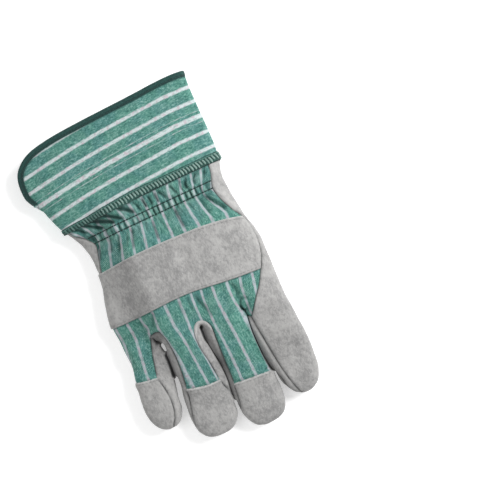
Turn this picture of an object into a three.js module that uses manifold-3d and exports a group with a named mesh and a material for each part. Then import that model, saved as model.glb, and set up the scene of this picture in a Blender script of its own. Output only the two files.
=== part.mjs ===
// A leather palm work glove for the right hand, lying palm down with its thumb folded under the palm.
// Millimetres. +Y runs from the cuff to the fingertips, +X towards the little finger, +Z up from the surface.
// Every panel is a thin wall round one hollow that a hand goes into: the outer skin is a cage of rings,
// the hollow is the same cage moved inwards, and the seams cut the wall between them into panels.
import * as THREE from "three";
import Module from "manifold-3d";

const wasm = await Module();
wasm.setup();

const WALL = 1.8; // leather and canvas of the hand
const CUFF_WALL = 1.6; // stiffened canvas of the cuff
const SEAM_GAP = 0.3; // between two panels that meet at a seam
const OVERLAY_GAP = 0.35; // between a panel and what is sewn on top of it
const STRAP_THICKNESS = 1.3;
const WELT_THICKNESS = 1.1;
const ELASTIC_THICKNESS = 1.1;
const PRESS = 1.2; // how far the soft underside is flattened where it rests
const THUMB_THICKNESS = 12;
const THUMB_CLEARANCE = 0.5; // between the folded thumb and the palm above it
const ROUNDNESS = 2.4; // exponent of the superellipse of a section
const TIP_RINGS = [0.45, 0.75, 0.93]; // rings of a rounded tip, as shares of its length
const SKY = 70; // a height above everything
const END_CLEARANCE = 0.5; // how far a hollow runs out past the open end of its wall

// The hand from wrist to finger bases. thumbSide and littleSide are its edges, rise half its thickness.
const HAND = [
  { y: -61.8, thumbSide: -70.6, littleSide: 61.4, rise: 9.6, centre: 12.6 },
  { y: -60.2, thumbSide: -70.1, littleSide: 60.5, rise: 9.7, centre: 12.4 },
  { y: -54, thumbSide: -68.3, littleSide: 56.8, rise: 10.2, centre: 11.8 },
  { y: -46, thumbSide: -66.9, littleSide: 53.2, rise: 10.0, centre: 10.8 },
  { y: -34, thumbSide: -67.8, littleSide: 51.0, rise: 11.8, centre: 11.8 },
  { y: -20, thumbSide: -69.4, littleSide: 50.6, rise: 12.8, centre: 12.8 },
  { y: 5, thumbSide: -74.3, littleSide: 56.0, rise: 13.2, centre: 13.2 },
  { y: 21, thumbSide: -74.0, littleSide: 59.0, rise: 12.8, centre: 12.8 },
  { y: 35, thumbSide: -73.4, littleSide: 58.4, rise: 12, centre: 12 },
];

// The fingers, thumb side first. x is the middle of the finger, half its half width and base
// where its leather meets the palm.
const FINGERS = [
  {
    name: "index", tip: 127.3, tipPower: 2.1,
    rows: [
      { y: 50, x: -56.4, half: 16.5, rise: 10.8 },
      { y: 65, x: -57.0, half: 16.8, rise: 10.4 },
      { y: 86, x: -57.8, half: 17.3, rise: 10.0 },
      { y: 103, x: -57.9, half: 16.4, rise: 9.4 },
    ],
  },
  {
    name: "middle", tip: 137.3, tipPower: 2.6,
    rows: [
      { y: 48.5, x: -22.3, half: 16.4, rise: 11.2 },
      { y: 65, x: -21.8, half: 16.8, rise: 10.4 },
      { y: 80, x: -22.9, half: 16.2, rise: 10.2 },
      { y: 100, x: -22.6, half: 16.8, rise: 9.9 },
      { y: 115, x: -22.5, half: 17.8, rise: 9.4 },
    ],
  },
  {
    name: "ring", tip: 129.5, tipPower: 2.6,
    rows: [
      { y: 47.5, x: 12.4, half: 15.8, rise: 11.2 },
      { y: 58, x: 12.8, half: 15.0, rise: 10.6 },
      { y: 78, x: 12.2, half: 17.2, rise: 10.2 },
      { y: 97, x: 13.8, half: 17.6, rise: 9.8 },
      { y: 110, x: 14.6, half: 17.6, rise: 9.4 },
    ],
  },
  {
    name: "little", tip: 110, tipPower: 2.2,
    rows: [
      { y: 41, x: 44.8, half: 13.4, rise: 11 },
      { y: 56, x: 43.4, half: 14.0, rise: 10 },
      { y: 68, x: 45.5, half: 15.0, rise: 9.6 },
      { y: 78, x: 47.3, half: 14.8, rise: 9.4 },
      { y: 90, x: 49.4, half: 13.9, rise: 9.2 },
    ],
  },
];

// Height of a finger's middle above the surface, where no thumb lies under it.
const FINGER_CENTRE = [
  { y: 35, z: 12 },
  { y: 50, z: 11.2 },
  { y: 70, z: 10.4 },
  { y: 100, z: 9.8 },
  { y: 140, z: 9.2 },
];

// The folded thumb raises what lies above it: all of it between the inner pair of each slope.
const LIFT = { fullX: 20, noneX: 43, noneWrist: -82, fullWrist: -48, fullFingers: 48, noneFingers: 108 };

// The thumb's sections, from its root at the edge of the hand to where its tip starts.
const THUMB = [
  { wrist: [-66, -50], finger: [-71.5, 2], rise: 3.6 },
  { wrist: [-57, -52], finger: [-66, 9.5], rise: 5.2 },
  { wrist: [-43, -52], finger: [-54, 16], rise: 6 },
  { wrist: [-22, -41], finger: [-36, 27], rise: 6 },
  { wrist: [-3, -20], finger: [-16, 38], rise: 6 },
  { wrist: [11, 0], finger: [-4, 44], rise: 6 },
];
const THUMB_TIP = { length: 15, power: 2.5, roundness: 2.6 };
const THUMB_HOLE = { x: -48, y: -14, alongX: 13, alongY: 21, sides: 16, from: 6.2, to: 24 };

// The cuff from its seam to its mouth, before the mouth is trimmed.
const CUFF = [
  { y: -62.1, thumbSide: -70.7, littleSide: 61.5, rise: 9.7, centre: 12.7 },
  { y: -66, thumbSide: -71.5, littleSide: 63.5, rise: 9.9, centre: 12.4 },
  { y: -76, thumbSide: -73.2, littleSide: 68.4, rise: 10.4, centre: 11.6 },
  { y: -90, thumbSide: -74.0, littleSide: 74.0, rise: 10.8, centre: 11 },
  { y: -106, thumbSide: -74.4, littleSide: 78.0, rise: 10.8, centre: 10.8 },
  { y: -122, thumbSide: -74.7, littleSide: 78.6, rise: 10.8, centre: 10.8 },
  { y: -139, thumbSide: -75.0, littleSide: 79, rise: 10.8, centre: 10.8 },
];
const SLIT = { end: -90, height: 4.4 }; // the open side of the cuff
const BINDING = { width: 5, proud: 0.5 };
const MOUTH = [
  [-92, -136.4], [-74.7, -136], [-30, -134.8], [20, -133.2], [46.5, -132.2], [59.2, -130.3], [67.9, -125.2],
  [74.7, -118.1], [77.8, -106], [77.2, -97], [74.6, -89],
];
const WRIST_SEAM = { above: 0.5, thickness: 1.2, start: -65.8, end: -60.3 };
const ELASTIC = [[-66, -52.6], [66, -52.6], [66, -42.6], [-66, -42.6]];

// Seams on the back of the hand, seen from above.
const BACK_CANVAS = [
  [-61, -64], [-60.6, -56.4], [-57, -44], [-59.2, -33.8], [-63.7, -23.9], [-68.5, -15.7], [-71.5, 4], [-69.8, 15],
  [-64.3, 27], [-57.6, 37.8], [-50.7, 45.2], [-41.2, 51], [-38.6, 58.6], [-37.4, 75.8], [-35.9, 100], [-9, 98.8],
  [-9.6, 76.5], [-11.2, 54], [-5, 47.2], [1.8, 49.5], [3.6, 63.3], [0.4, 90.9], [24.6, 86.9], [23.6, 56],
  [25.4, 44.5], [31, 38.2], [35.5, 42], [40, 55.8], [44.2, 69.3], [66, 66.2], [66, 45], [61.5, 25], [57, 12],
  [51.5, -6], [49, -21.3], [45.7, -33.4], [43.5, -43.2], [49, -50], [57, -57], [59, -64],
];
const TIP_CAPS = {
  middle: [
    [-35.9, 100.4], [-38.6, 106], [-39, 116], [-36.8, 126], [-29.8, 134], [-16, 134.4], [-8, 127.4], [-6.2, 114],
    [-9, 99.2],
  ],
  ring: [
    [0.4, 91.3], [-1.4, 102], [-1.2, 113], [3, 122.6], [10.6, 127], [21, 126.6], [28.6, 119.4], [30.6, 108],
    [28.4, 97], [24.6, 87.3],
  ],
  little: [
    [44.2, 69.7], [41.6, 78], [40.9, 87], [41.2, 96], [44.4, 103], [49.5, 106], [56, 104.4], [68, 98], [68, 66.4],
  ],
};
const STRAP_OUTLINE = [
  [-68.2, -15.2], [-56.3, -18.6], [-36.7, -21.4], [-18.7, -22.3], [28, -23], [48.5, -21.3], [70, -21], [70, 20.4],
  [28.9, 21.4], [-6.8, 20.8], [-19, 22.1], [-42, 25], [-63.2, 26.4], [-69, 15], [-71.2, 4],
];
const INDEX_SIDE = [
  [-42, 48], [-42, 59.4], [-44.4, 84.5], [-47.5, 104.9], [-52.3, 124.8], [-53, 140], [-41, 140], [-39, 48],
];
const CROTCH_WELT = [
  [-12.4, 53], [-10.6, 46.5], [-7.6, 41.8], [-4.4, 41.2], [-1.2, 42.8], [2.4, 46.6], [1.6, 48.2], [-2.2, 47.2],
  [-6, 47.2], [-9.8, 51.4], [-10.8, 54],
];
// Lines between neighbouring fingers, and where the leather of each finger meets the palm.
const FORKS = [
  [[-39.2, 47.6], [-39.4, 65], [-39.9, 80], [-40.5, 100], [-41, 145]],
  [[-4.6, 46.4], [-4.75, 50], [-3.8, 60], [-5.6, 79], [-4.8, 98], [-3.9, 112], [-3.9, 145]],
  [[30.6, 36.4], [28.6, 57], [29.9, 70], [31, 78], [33.4, 92], [34, 145]],
];
const FINGER_BASES = {
  index: [[-62, 29.6], [-56, 39]],
  middle: [],
  ring: [[18, 46.2]],
  little: [[38, 40]],
};
const PALM_WELT = [
  [-36.5, 46.1], [-36.5, 48.4], [-9, 47.4], [-4.6, 46.7], [0, 47.2], [18.7, 47.2], [29.4, 39], [28, 37], [17.6, 44.9],
  [-4.6, 44.9],
];

const MATERIALS = {
  suede: new THREE.MeshStandardMaterial({ color: 0xb0b1ad, roughness: 0.95, metalness: 0 }),
  canvas: new THREE.MeshStandardMaterial({ color: 0x5e9d8e, roughness: 0.9, metalness: 0 }),
  tape: new THREE.MeshStandardMaterial({ color: 0x254e49, roughness: 0.85, metalness: 0 }),
  elastic: new THREE.MeshStandardMaterial({ color: 0xd8d8d2, roughness: 0.8, metalness: 0 }),
};

const mix = (a, b, share) => a + share * (b - a);
const smooth = (from, to, value) => {
  const t = Math.min(1, Math.max(0, (value - from) / (to - from)));
  return t * t * (3 - 2 * t);
};

// A table's row at a value of one of its columns, read between rows.
function rowAt(table, key, value) {
  const next = table.findIndex((row) => row[key] >= value);
  if (next === 0) return table[0];
  if (next < 0) return table.at(-1);
  const [low, high] = [table[next - 1], table[next]];
  const share = (value - low[key]) / (high[key] - low[key]);
  return Object.fromEntries(Object.keys(low).map((column) => [column, mix(low[column], high[column], share)]));
}

function lift(x, y) {
  const across = 1 - smooth(LIFT.fullX, LIFT.noneX, x);
  const along = smooth(LIFT.noneWrist, LIFT.fullWrist, y) * (1 - smooth(LIFT.fullFingers, LIFT.noneFingers, y));
  return (THUMB_THICKNESS + THUMB_CLEARANCE) * across * along;
}

// The middle of the glove's thickness at a place on it.
function middleHeight(x, y) {
  const flat = y < 35 ? rowAt(HAND, "y", y).centre : rowAt(FINGER_CENTRE, "y", y).z;
  return flat - PRESS + lift(x, y);
}

// A point of a superellipse, as shares of its half width and half height.
function superellipse(degrees, power) {
  const angle = (degrees * Math.PI) / 180;
  const share = (value) => Math.sign(value) * Math.abs(value) ** (2 / power);
  return [share(Math.cos(angle)), share(Math.sin(angle))];
}

// A point of the glove laid flat, flattened by the surface below it and raised by the thumb.
const settle = (x, y, z) => new THREE.Vector3(x, y, Math.max(0, z - PRESS) + lift(x, y));

// A closed net of faces, each listed counterclockwise from outside.
class Cage {
  points = [];
  faces = [];

  add(point) {
    this.points.push(point);
    return this.points.length - 1;
  }

  face(corners, end = false) {
    const kept = corners.filter((corner, i) => corners.indexOf(corner) === i);
    if (kept.length > 2) this.faces.push({ corners: kept, end });
  }

  // Faces between two rings. Both run counterclockwise, seen from where the front ring lies.
  bridge(back, front) {
    back.forEach((corner, i) => {
      const next = (i + 1) % back.length;
      this.face([corner, back[next], front[next], front[i]]);
    });
  }

  // The points moved along the normals of the wall, outwards for a positive distance.
  moved(distance) {
    const normals = this.points.map(() => new THREE.Vector3());
    for (const { corners, end } of this.faces) {
      if (end) continue;
      const p = corners.map((i) => this.points[i]);
      const across = p[2].clone().sub(p[0]);
      const along = p.at(-1).clone().sub(p[1]);
      const normal = across.cross(along);
      corners.forEach((i) => normals[i].add(normal));
    }
    return this.points.map((p, i) => p.clone().addScaledVector(normals[i].normalize(), distance));
  }

  // The solid inside the cage moved by a distance. Each shift moves an open end's ring along Y,
  // so that the solid of a hollow runs out through the end of the wall.
  solid(distance = 0, shifts = []) {
    const points = distance === 0 ? this.points.map((p) => p.clone()) : this.moved(distance);
    for (const { ring, by } of shifts) {
      ring.forEach((i) => points[i].setY(this.points[i].y + by));
    }
    const triangles = this.faces.flatMap(({ corners }) =>
      corners.slice(2).flatMap((_, i) => [corners[0], corners[i + 1], corners[i + 2]]),
    );
    return solidOf(points.flatMap((p) => p.toArray()), triangles);
  }
}

function solidOf(positions, triangles) {
  const mesh = new wasm.Mesh({
    numProp: 3,
    vertProperties: new Float32Array(positions),
    triVerts: new Uint32Array(triangles),
  });
  return new wasm.Manifold(mesh);
}

const TOP_ANGLES = [146, 110, 70, 34];
const loopOf = (ring) => [ring.thumbSide, ...ring.top, ring.littleSide, ...ring.bottom.toReversed()];

// A ring across the glove: its two edges, and the points above and below between them.
function crossRing(cage, pointAt) {
  const add = (degrees) => cage.add(pointAt(degrees));
  return {
    thumbSide: add(180),
    top: TOP_ANGLES.map(add),
    littleSide: add(0),
    bottom: TOP_ANGLES.map((degrees) => add(360 - degrees)),
  };
}

// The closed end after a tip's last ring: a row of points where its top and bottom meet.
function closeTip(cage, end, noseAt) {
  const nose = end.top.map((corner) => cage.add(noseAt(cage.points[corner])));
  const row = [end.thumbSide, ...nose, end.littleSide];
  const top = [end.thumbSide, ...end.top, end.littleSide];
  const bottom = [end.thumbSide, ...end.bottom, end.littleSide];
  for (let i = 0; i + 1 < row.length; i += 1) {
    cage.face([row[i], top[i], top[i + 1], row[i + 1]]);
    cage.face([bottom[i], row[i], row[i + 1], bottom[i + 1]]);
  }
}

const tipScale = (share, power) => (1 - share ** power) ** (1 / power);

function buildFinger(cage, finger) {
  const last = finger.rows.at(-1);
  const rounded = TIP_RINGS.map((share) => {
    const scale = tipScale(share, finger.tipPower);
    return { y: mix(last.y, finger.tip, share), x: last.x, half: last.half * scale, rise: last.rise * scale };
  });
  const rings = [...finger.rows, ...rounded].map((row) =>
    crossRing(cage, (degrees) => {
      const [across, up] = superellipse(degrees, ROUNDNESS);
      return settle(row.x + row.half * across, row.y, rowAt(FINGER_CENTRE, "y", row.y).z + row.rise * up);
    }),
  );
  rings.slice(1).forEach((ring, i) => cage.bridge(loopOf(rings[i]), loopOf(ring)));
  const height = rowAt(FINGER_CENTRE, "y", finger.tip).z;
  closeTip(cage, rings.at(-1), (p) => settle(p.x, finger.tip, height));
  return rings[0];
}

// A ring of the hand or the cuff. shares are where its upper and lower points lie across it.
function rowRing(cage, row, shares) {
  const at = (share, side) => {
    const up = (1 - Math.abs(2 * share - 1) ** ROUNDNESS) ** (1 / ROUNDNESS);
    return cage.add(settle(mix(row.thumbSide, row.littleSide, share), row.y, row.centre + side * row.rise * up));
  };
  return {
    thumbSide: at(0, 1),
    top: shares.map((share) => at(share, 1)),
    littleSide: at(1, 1),
    bottom: shares.map((share) => at(share, -1)),
  };
}

function buildHand() {
  const cage = new Cage();
  const bases = FINGERS.map((finger) => buildFinger(cage, finger));
  const [west, east] = [cage.points[bases[0].thumbSide].x, cage.points[bases.at(-1).littleSide].x];
  const shares = bases.flatMap((ring) => ring.top.map((i) => (cage.points[i].x - west) / (east - west)));
  const rings = HAND.map((row) => rowRing(cage, row, shares));
  rings.slice(1).forEach((ring, i) => cage.bridge(loopOf(rings[i]), loopOf(ring)));
  joinFingers(cage, rings.at(-1), bases);
  closeEnd(cage, rings[0]);
  return { cage, shares, wrist: loopOf(rings[0]) };
}

// The hand's last ring meets the first ring of every finger, with a web in each fork between two.
function joinFingers(cage, hand, bases) {
  bases.forEach((base, f) => {
    const first = f * base.top.length;
    for (let k = 0; k + 1 < base.top.length; k += 1) {
      cage.face([hand.top[first + k], hand.top[first + k + 1], base.top[k + 1], base.top[k]]);
      cage.face([hand.bottom[first + k + 1], hand.bottom[first + k], base.bottom[k], base.bottom[k + 1]]);
    }
    const other = bases[f + 1];
    if (!other) return;
    const near = first + base.top.length - 1;
    cage.face([hand.top[near], hand.top[near + 1], other.top[0], base.top.at(-1)]);
    cage.face([base.top.at(-1), other.top[0], other.thumbSide, base.littleSide]);
    cage.face([base.littleSide, other.thumbSide, other.bottom[0], base.bottom.at(-1)]);
    cage.face([hand.bottom[near + 1], hand.bottom[near], base.bottom.at(-1), other.bottom[0]]);
  });
  const [first, last] = [bases[0], bases.at(-1)];
  cage.face([hand.thumbSide, hand.top[0], first.top[0], first.thumbSide]);
  cage.face([hand.bottom[0], hand.thumbSide, first.thumbSide, first.bottom[0]]);
  cage.face([hand.top.at(-1), hand.littleSide, last.littleSide, last.top.at(-1)]);
  cage.face([hand.littleSide, hand.bottom.at(-1), last.bottom.at(-1), last.littleSide]);
}

// A flat end across a ring, facing -Y, or +Y where the ring ends the cage.
function closeEnd(cage, ring, atFront = false) {
  const top = [ring.thumbSide, ...ring.top, ring.littleSide];
  const bottom = [ring.thumbSide, ...ring.bottom, ring.littleSide];
  for (let i = 0; i + 1 < top.length; i += 1) {
    const corners = [top[i], bottom[i], bottom[i + 1], top[i + 1]];
    cage.face(atFront ? corners.toReversed() : corners, true);
  }
}

function buildThumb() {
  const cage = new Cage();
  const last = THUMB.at(-1);
  const side = [last.finger[0] - last.wrist[0], last.finger[1] - last.wrist[1]];
  const width = Math.hypot(...side);
  const ahead = [(side[1] / width) * THUMB_TIP.length, (-side[0] / width) * THUMB_TIP.length];
  const rows = THUMB.map((row) => ({ ...row, scale: 1, forward: 0 }));
  for (const share of TIP_RINGS) {
    rows.push({ ...last, scale: tipScale(share, THUMB_TIP.power), forward: share });
  }
  const place = (row, across, up) => {
    const share = 0.5 - (across * row.scale) / 2;
    const [x, y] = [0, 1].map((k) => mix(row.wrist[k], row.finger[k], share) + ahead[k] * row.forward);
    const half = THUMB_THICKNESS / 2;
    return new THREE.Vector3(x, y, Math.max(0, half + (row.rise + 0.6) * row.scale * up - 0.6));
  };
  // Seen from the tip, the finger-side edge is on the right, as the thumb side of a finger is.
  const rings = rows.map((row) =>
    crossRing(cage, (degrees) => place(row, ...superellipse(degrees, THUMB_TIP.roundness))),
  );
  rings.slice(1).forEach((ring, i) => cage.bridge(loopOf(rings[i]), loopOf(ring)));
  const end = rows.at(-1);
  const middle = [0, 1].map((k) => mix(last.wrist[k], last.finger[k], 0.5));
  closeTip(cage, rings.at(-1), (p) => {
    const back = [0, 1].map((k) => p.getComponent(k) - middle[k] - ahead[k] * end.forward);
    return new THREE.Vector3(middle[0] + ahead[0] + back[0], middle[1] + ahead[1] + back[1], THUMB_THICKNESS / 2 - 0.6);
  });
  closeEnd(cage, rings[0]);
  return cage;
}

// A sleeve through rows that run from its +Y end to its -Y end, with both ends closed.
function buildSleeve(rows, shares) {
  const cage = new Cage();
  const rings = rows.map((row) => rowRing(cage, row, shares));
  rings.slice(1).forEach((ring, i) => cage.bridge(loopOf(ring), loopOf(rings[i])));
  closeEnd(cage, rings[0], true);
  closeEnd(cage, rings.at(-1));
  return { cage, front: loopOf(rings[0]), back: loopOf(rings.at(-1)) };
}

// The wall of a sleeve between two distances from its cage, open at both ends.
function sleeveWall(sleeve, inner, outer) {
  const ends = [{ ring: sleeve.front, by: END_CLEARANCE }, { ring: sleeve.back, by: -END_CLEARANCE }];
  return sleeve.cage.solid(outer).subtract(sleeve.cage.solid(inner, ends));
}

// An upright block over an outline seen from above.
function block(outline, from = -5, to = SKY) {
  const flat = outline.map(([x, y]) => new THREE.Vector2(x, y));
  if (THREE.ShapeUtils.isClockWise(flat)) flat.reverse();
  const count = flat.length;
  const caps = THREE.ShapeUtils.triangulateShape(flat, []);
  const positions = [from, to].flatMap((z) => flat.flatMap((p) => [p.x, p.y, z]));
  const triangles = [
    ...caps.flatMap(([a, b, c]) => [a, c, b]),
    ...caps.flatMap((cap) => cap.map((i) => i + count)),
    ...flat.flatMap((_, i) => {
      const next = (i + 1) % count;
      return [i, next, next + count, i, next + count, i + count];
    }),
  ];
  return solidOf(positions, triangles);
}

// A line moved to its left by a distance, keeping its ends level with where they were.
function alongside(line, distance, closed = false) {
  const flat = line.map(([x, y]) => new THREE.Vector2(x, y));
  const left = (a, b) => new THREE.Vector2(a.y - b.y, b.x - a.x).normalize();
  return flat.map((p, i) => {
    const [before, after] = [closed || i > 0 ? flat.at(i - 1) : null, flat[i + 1] ?? (closed ? flat[0] : null)];
    const normals = [before && left(before, p), after && left(p, after)].filter(Boolean);
    const normal = normals.reduce((sum, n) => sum.add(n), new THREE.Vector2()).normalize();
    const stretch = Math.max(0.5, normal.dot(after ? left(p, after) : left(before, p)));
    return [p.x + (normal.x * distance) / stretch, p.y + (normal.y * distance) / stretch];
  });
}

// An outline moved outwards by a distance, or inwards where it is negative.
function grown(outline, distance) {
  const flat = outline.map(([x, y]) => new THREE.Vector2(x, y));
  return alongside(outline, THREE.ShapeUtils.isClockWise(flat) ? distance : -distance, true);
}

// Everything above the middle of the glove's thickness, lowered by a distance.
function upperHalf(lowered = 0) {
  const xs = Array.from({ length: 23 }, (_, i) => -99 + i * 9);
  const ys = Array.from({ length: 26 }, (_, i) => -75 + i * 9);
  const at = (i, j) => j * xs.length + i;
  const count = xs.length * ys.length;
  const positions = [
    ...ys.flatMap((y) => xs.flatMap((x) => [x, y, middleHeight(x, y) - lowered])),
    ...ys.flatMap((y) => xs.flatMap((x) => [x, y, SKY])),
  ];
  const triangles = [];
  const quad = (a, b, c, d) => triangles.push(a, b, c, a, c, d);
  for (let j = 0; j + 1 < ys.length; j += 1) {
    for (let i = 0; i + 1 < xs.length; i += 1) {
      quad(at(i, j), at(i, j + 1), at(i + 1, j + 1), at(i + 1, j));
      quad(count + at(i, j), count + at(i + 1, j), count + at(i + 1, j + 1), count + at(i, j + 1));
    }
  }
  const wall = (a, b) => quad(a, b, b + count, a + count);
  for (let i = 0; i + 1 < xs.length; i += 1) {
    wall(at(i, 0), at(i + 1, 0));
    wall(at(i + 1, ys.length - 1), at(i, ys.length - 1));
  }
  for (let j = 0; j + 1 < ys.length; j += 1) {
    wall(at(xs.length - 1, j), at(xs.length - 1, j + 1));
    wall(at(0, j + 1), at(0, j));
  }
  return solidOf(positions, triangles);
}

const hand = buildHand();
const handShell = hand.cage.solid().subtract(hand.cage.solid(-WALL, [{ ring: hand.wrist, by: -END_CLEARANCE }]));
const above = upperHalf();
const aboveLowered = upperHalf(SEAM_GAP);
const layer = (from, thickness) => {
  const open = [{ ring: hand.wrist, by: -END_CLEARANCE }];
  return hand.cage.solid(from + thickness).subtract(hand.cage.solid(from, open));
};
const onBack = (outline) => above.intersect(block(outline));
const clearOf = (outline) => aboveLowered.intersect(block(grown(outline, SEAM_GAP)));

const panels = {};
panels.back_canvas = handShell.intersect(onBack(BACK_CANVAS));
let leather = handShell.subtract(clearOf(BACK_CANVAS));
for (const [name, outline] of Object.entries(TIP_CAPS)) {
  panels[`${name}_tip_cap`] = handShell.intersect(onBack(outline));
  leather = leather.subtract(clearOf(outline));
}
panels.index_finger_side = leather.intersect(onBack(INDEX_SIDE));
leather = leather.subtract(clearOf(INDEX_SIDE));

const thumbHole = block(
  Array.from({ length: THUMB_HOLE.sides }, (_, i) => {
    const angle = (2 * Math.PI * i) / THUMB_HOLE.sides;
    return [THUMB_HOLE.x + THUMB_HOLE.alongX * Math.cos(angle), THUMB_HOLE.y + THUMB_HOLE.alongY * Math.sin(angle)];
  }),
  THUMB_HOLE.from,
  THUMB_HOLE.to,
);
leather = leather.subtract(thumbHole);

// Each finger's leather lies between two forks and beyond its base.
const edges = [[[-95, 29.6], [-95, 145]], ...FORKS, [[95, 39.4], [95, 145]]];
FINGERS.forEach(({ name }, f) => {
  const outline = [...edges[f].toReversed(), ...FINGER_BASES[name], ...edges[f + 1]];
  const inner = grown(outline, -SEAM_GAP / 2);
  panels[`${name}_finger_leather`] = leather.intersect(block(inner));
  leather = leather.subtract(block(grown(outline, SEAM_GAP / 2)));
});
panels.palm_leather = leather;

const thumb = buildThumb();
panels.thumb_leather = thumb.solid().subtract(thumb.solid(-WALL)).subtract(thumbHole);
panels.knuckle_strap = layer(OVERLAY_GAP, STRAP_THICKNESS).intersect(onBack(STRAP_OUTLINE));
panels.crotch_welt = layer(OVERLAY_GAP, WELT_THICKNESS).intersect(onBack(CROTCH_WELT));
panels.palm_welt = layer(OVERLAY_GAP, WELT_THICKNESS).intersect(block(PALM_WELT)).subtract(aboveLowered);
panels.wrist_elastic = layer(-WALL - OVERLAY_GAP - ELASTIC_THICKNESS, ELASTIC_THICKNESS)
  .intersect(onBack(ELASTIC))
  .intersect(block(grown(BACK_CANVAS, -2)));

const cuff = buildSleeve(CUFF, hand.shares);
const slitMiddle = CUFF.at(-1).centre - PRESS;
const slit = block(
  [[30, SLIT.end], [95, SLIT.end], [95, -150], [30, -150]],
  slitMiddle - SLIT.height / 2,
  slitMiddle + SLIT.height / 2,
);
const boundEdge = [...MOUTH, ...alongside(MOUTH, BINDING.width).toReversed()];
panels.cuff_canvas = sleeveWall(cuff, -CUFF_WALL, 0)
  .intersect(block([...MOUTH, [92, -80], [92, -50], [-92, -50]]))
  .subtract(block(grown(boundEdge, SEAM_GAP)))
  .subtract(slit);
panels.cuff_binding = sleeveWall(cuff, -CUFF_WALL - BINDING.proud, BINDING.proud)
  .intersect(block(boundEdge, 0))
  .subtract(slit);
// The overlocked seam covers the join between cuff and hand, and follows the rows of both.
const wristSeam = buildSleeve([HAND[2], HAND[1], HAND[0], CUFF[0], CUFF[1], CUFF[2]], hand.shares);
panels.wrist_seam = sleeveWall(wristSeam, WRIST_SEAM.above, WRIST_SEAM.above + WRIST_SEAM.thickness).intersect(
  block([[-95, WRIST_SEAM.start], [95, WRIST_SEAM.start], [95, WRIST_SEAM.end], [-95, WRIST_SEAM.end]]),
);

const SURFACES = {
  back_canvas: "canvas",
  cuff_canvas: "canvas",
  cuff_binding: "tape",
  wrist_seam: "tape",
  wrist_elastic: "elastic",
};

const glove = new THREE.Group();
for (const [name, solid] of Object.entries(panels)) {
  const { vertProperties, triVerts } = solid.getMesh();
  const geometry = new THREE.BufferGeometry();
  geometry.setAttribute("position", new THREE.BufferAttribute(vertProperties, 3));
  geometry.setIndex(new THREE.BufferAttribute(triVerts, 1));
  const mesh = new THREE.Mesh(geometry, MATERIALS[SURFACES[name] ?? "suede"]);
  mesh.name = name;
  glove.add(mesh);
}

// The origin lies on the surface below the middle of the glove.
const extent = new THREE.Box3().setFromObject(glove);
const middle = extent.getCenter(new THREE.Vector3());
glove.position.set(-middle.x, -middle.y, -extent.min.z);

export default glove;
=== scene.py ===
import math

import bpy
import numpy as np
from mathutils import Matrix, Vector
from mathutils.bvhtree import BVHTree


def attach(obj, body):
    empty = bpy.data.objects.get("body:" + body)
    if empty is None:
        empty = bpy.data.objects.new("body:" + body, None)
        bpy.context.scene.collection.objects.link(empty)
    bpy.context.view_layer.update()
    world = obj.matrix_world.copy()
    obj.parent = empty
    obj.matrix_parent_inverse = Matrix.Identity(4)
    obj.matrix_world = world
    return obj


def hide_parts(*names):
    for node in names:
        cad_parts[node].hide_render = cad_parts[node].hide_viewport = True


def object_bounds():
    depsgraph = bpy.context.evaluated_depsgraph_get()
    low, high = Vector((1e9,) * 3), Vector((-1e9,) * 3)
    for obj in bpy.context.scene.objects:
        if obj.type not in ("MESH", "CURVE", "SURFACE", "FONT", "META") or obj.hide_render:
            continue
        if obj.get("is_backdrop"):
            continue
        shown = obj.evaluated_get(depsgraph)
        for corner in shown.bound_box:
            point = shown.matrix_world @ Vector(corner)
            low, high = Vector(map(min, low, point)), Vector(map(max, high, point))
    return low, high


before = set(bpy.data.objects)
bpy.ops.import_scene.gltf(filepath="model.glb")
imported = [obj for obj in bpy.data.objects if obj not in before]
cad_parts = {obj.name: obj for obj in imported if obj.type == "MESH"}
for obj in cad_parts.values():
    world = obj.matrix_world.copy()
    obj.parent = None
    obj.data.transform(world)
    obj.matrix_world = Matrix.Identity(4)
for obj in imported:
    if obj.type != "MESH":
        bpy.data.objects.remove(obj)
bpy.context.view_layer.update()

# A leather palm work glove for the right hand, lying palm down. All shapes are in millimetres, +Y towards the
# fingertips, +X towards the little finger, +Z up, and are moved by SHIFT and scaled when a piece is made.
SHIFT = np.array([-0.88358, -0.64136, 0.0])

WALL = 1.8
CUFF_WALL = 1.6
OVERLAY_GAP = 0.35
STRAP_THICKNESS = 1.3
WELT_THICKNESS = 1.1
ELASTIC_THICKNESS = 1.1
PRESS = 1.2
THUMB_THICKNESS = 12
THUMB_CLEARANCE = 0.5
THUMB_ROUNDNESS = 2.6
THUMB_TIP_POWER = 2.5
THUMB_TIP_LENGTH = 15
ROUNDNESS = 2.4  # the power of the superellipse that the hand's and cuff's sections follow
TIP_ANGLES = (15, 30, 45, 60, 75)  # where the rings of a rounded tip lie on its curve
LEVEL = 3  # how often the cages are subdivided
TIP_DROP = 2.6  # how far below the middle of a finger its cap and side strip reach

# The glove's sections
# y, thumb side edge, little side edge, half thickness, middle height
HAND = [
    (-61.8, -70.6, 61.4, 9.6, 12.6),
    (-60.2, -70.1, 60.5, 9.7, 12.4),
    (-54, -68.3, 56.8, 10.2, 11.8),
    (-46, -66.9, 53.2, 10.0, 10.8),
    (-34, -67.8, 51.0, 11.8, 11.8),
    (-20, -69.4, 50.6, 12.8, 12.8),
    (5, -74.3, 56.0, 13.2, 13.2),
    (21, -74.0, 59.0, 12.8, 12.8),
    (35, -73.4, 58.4, 12, 12),
]
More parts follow.
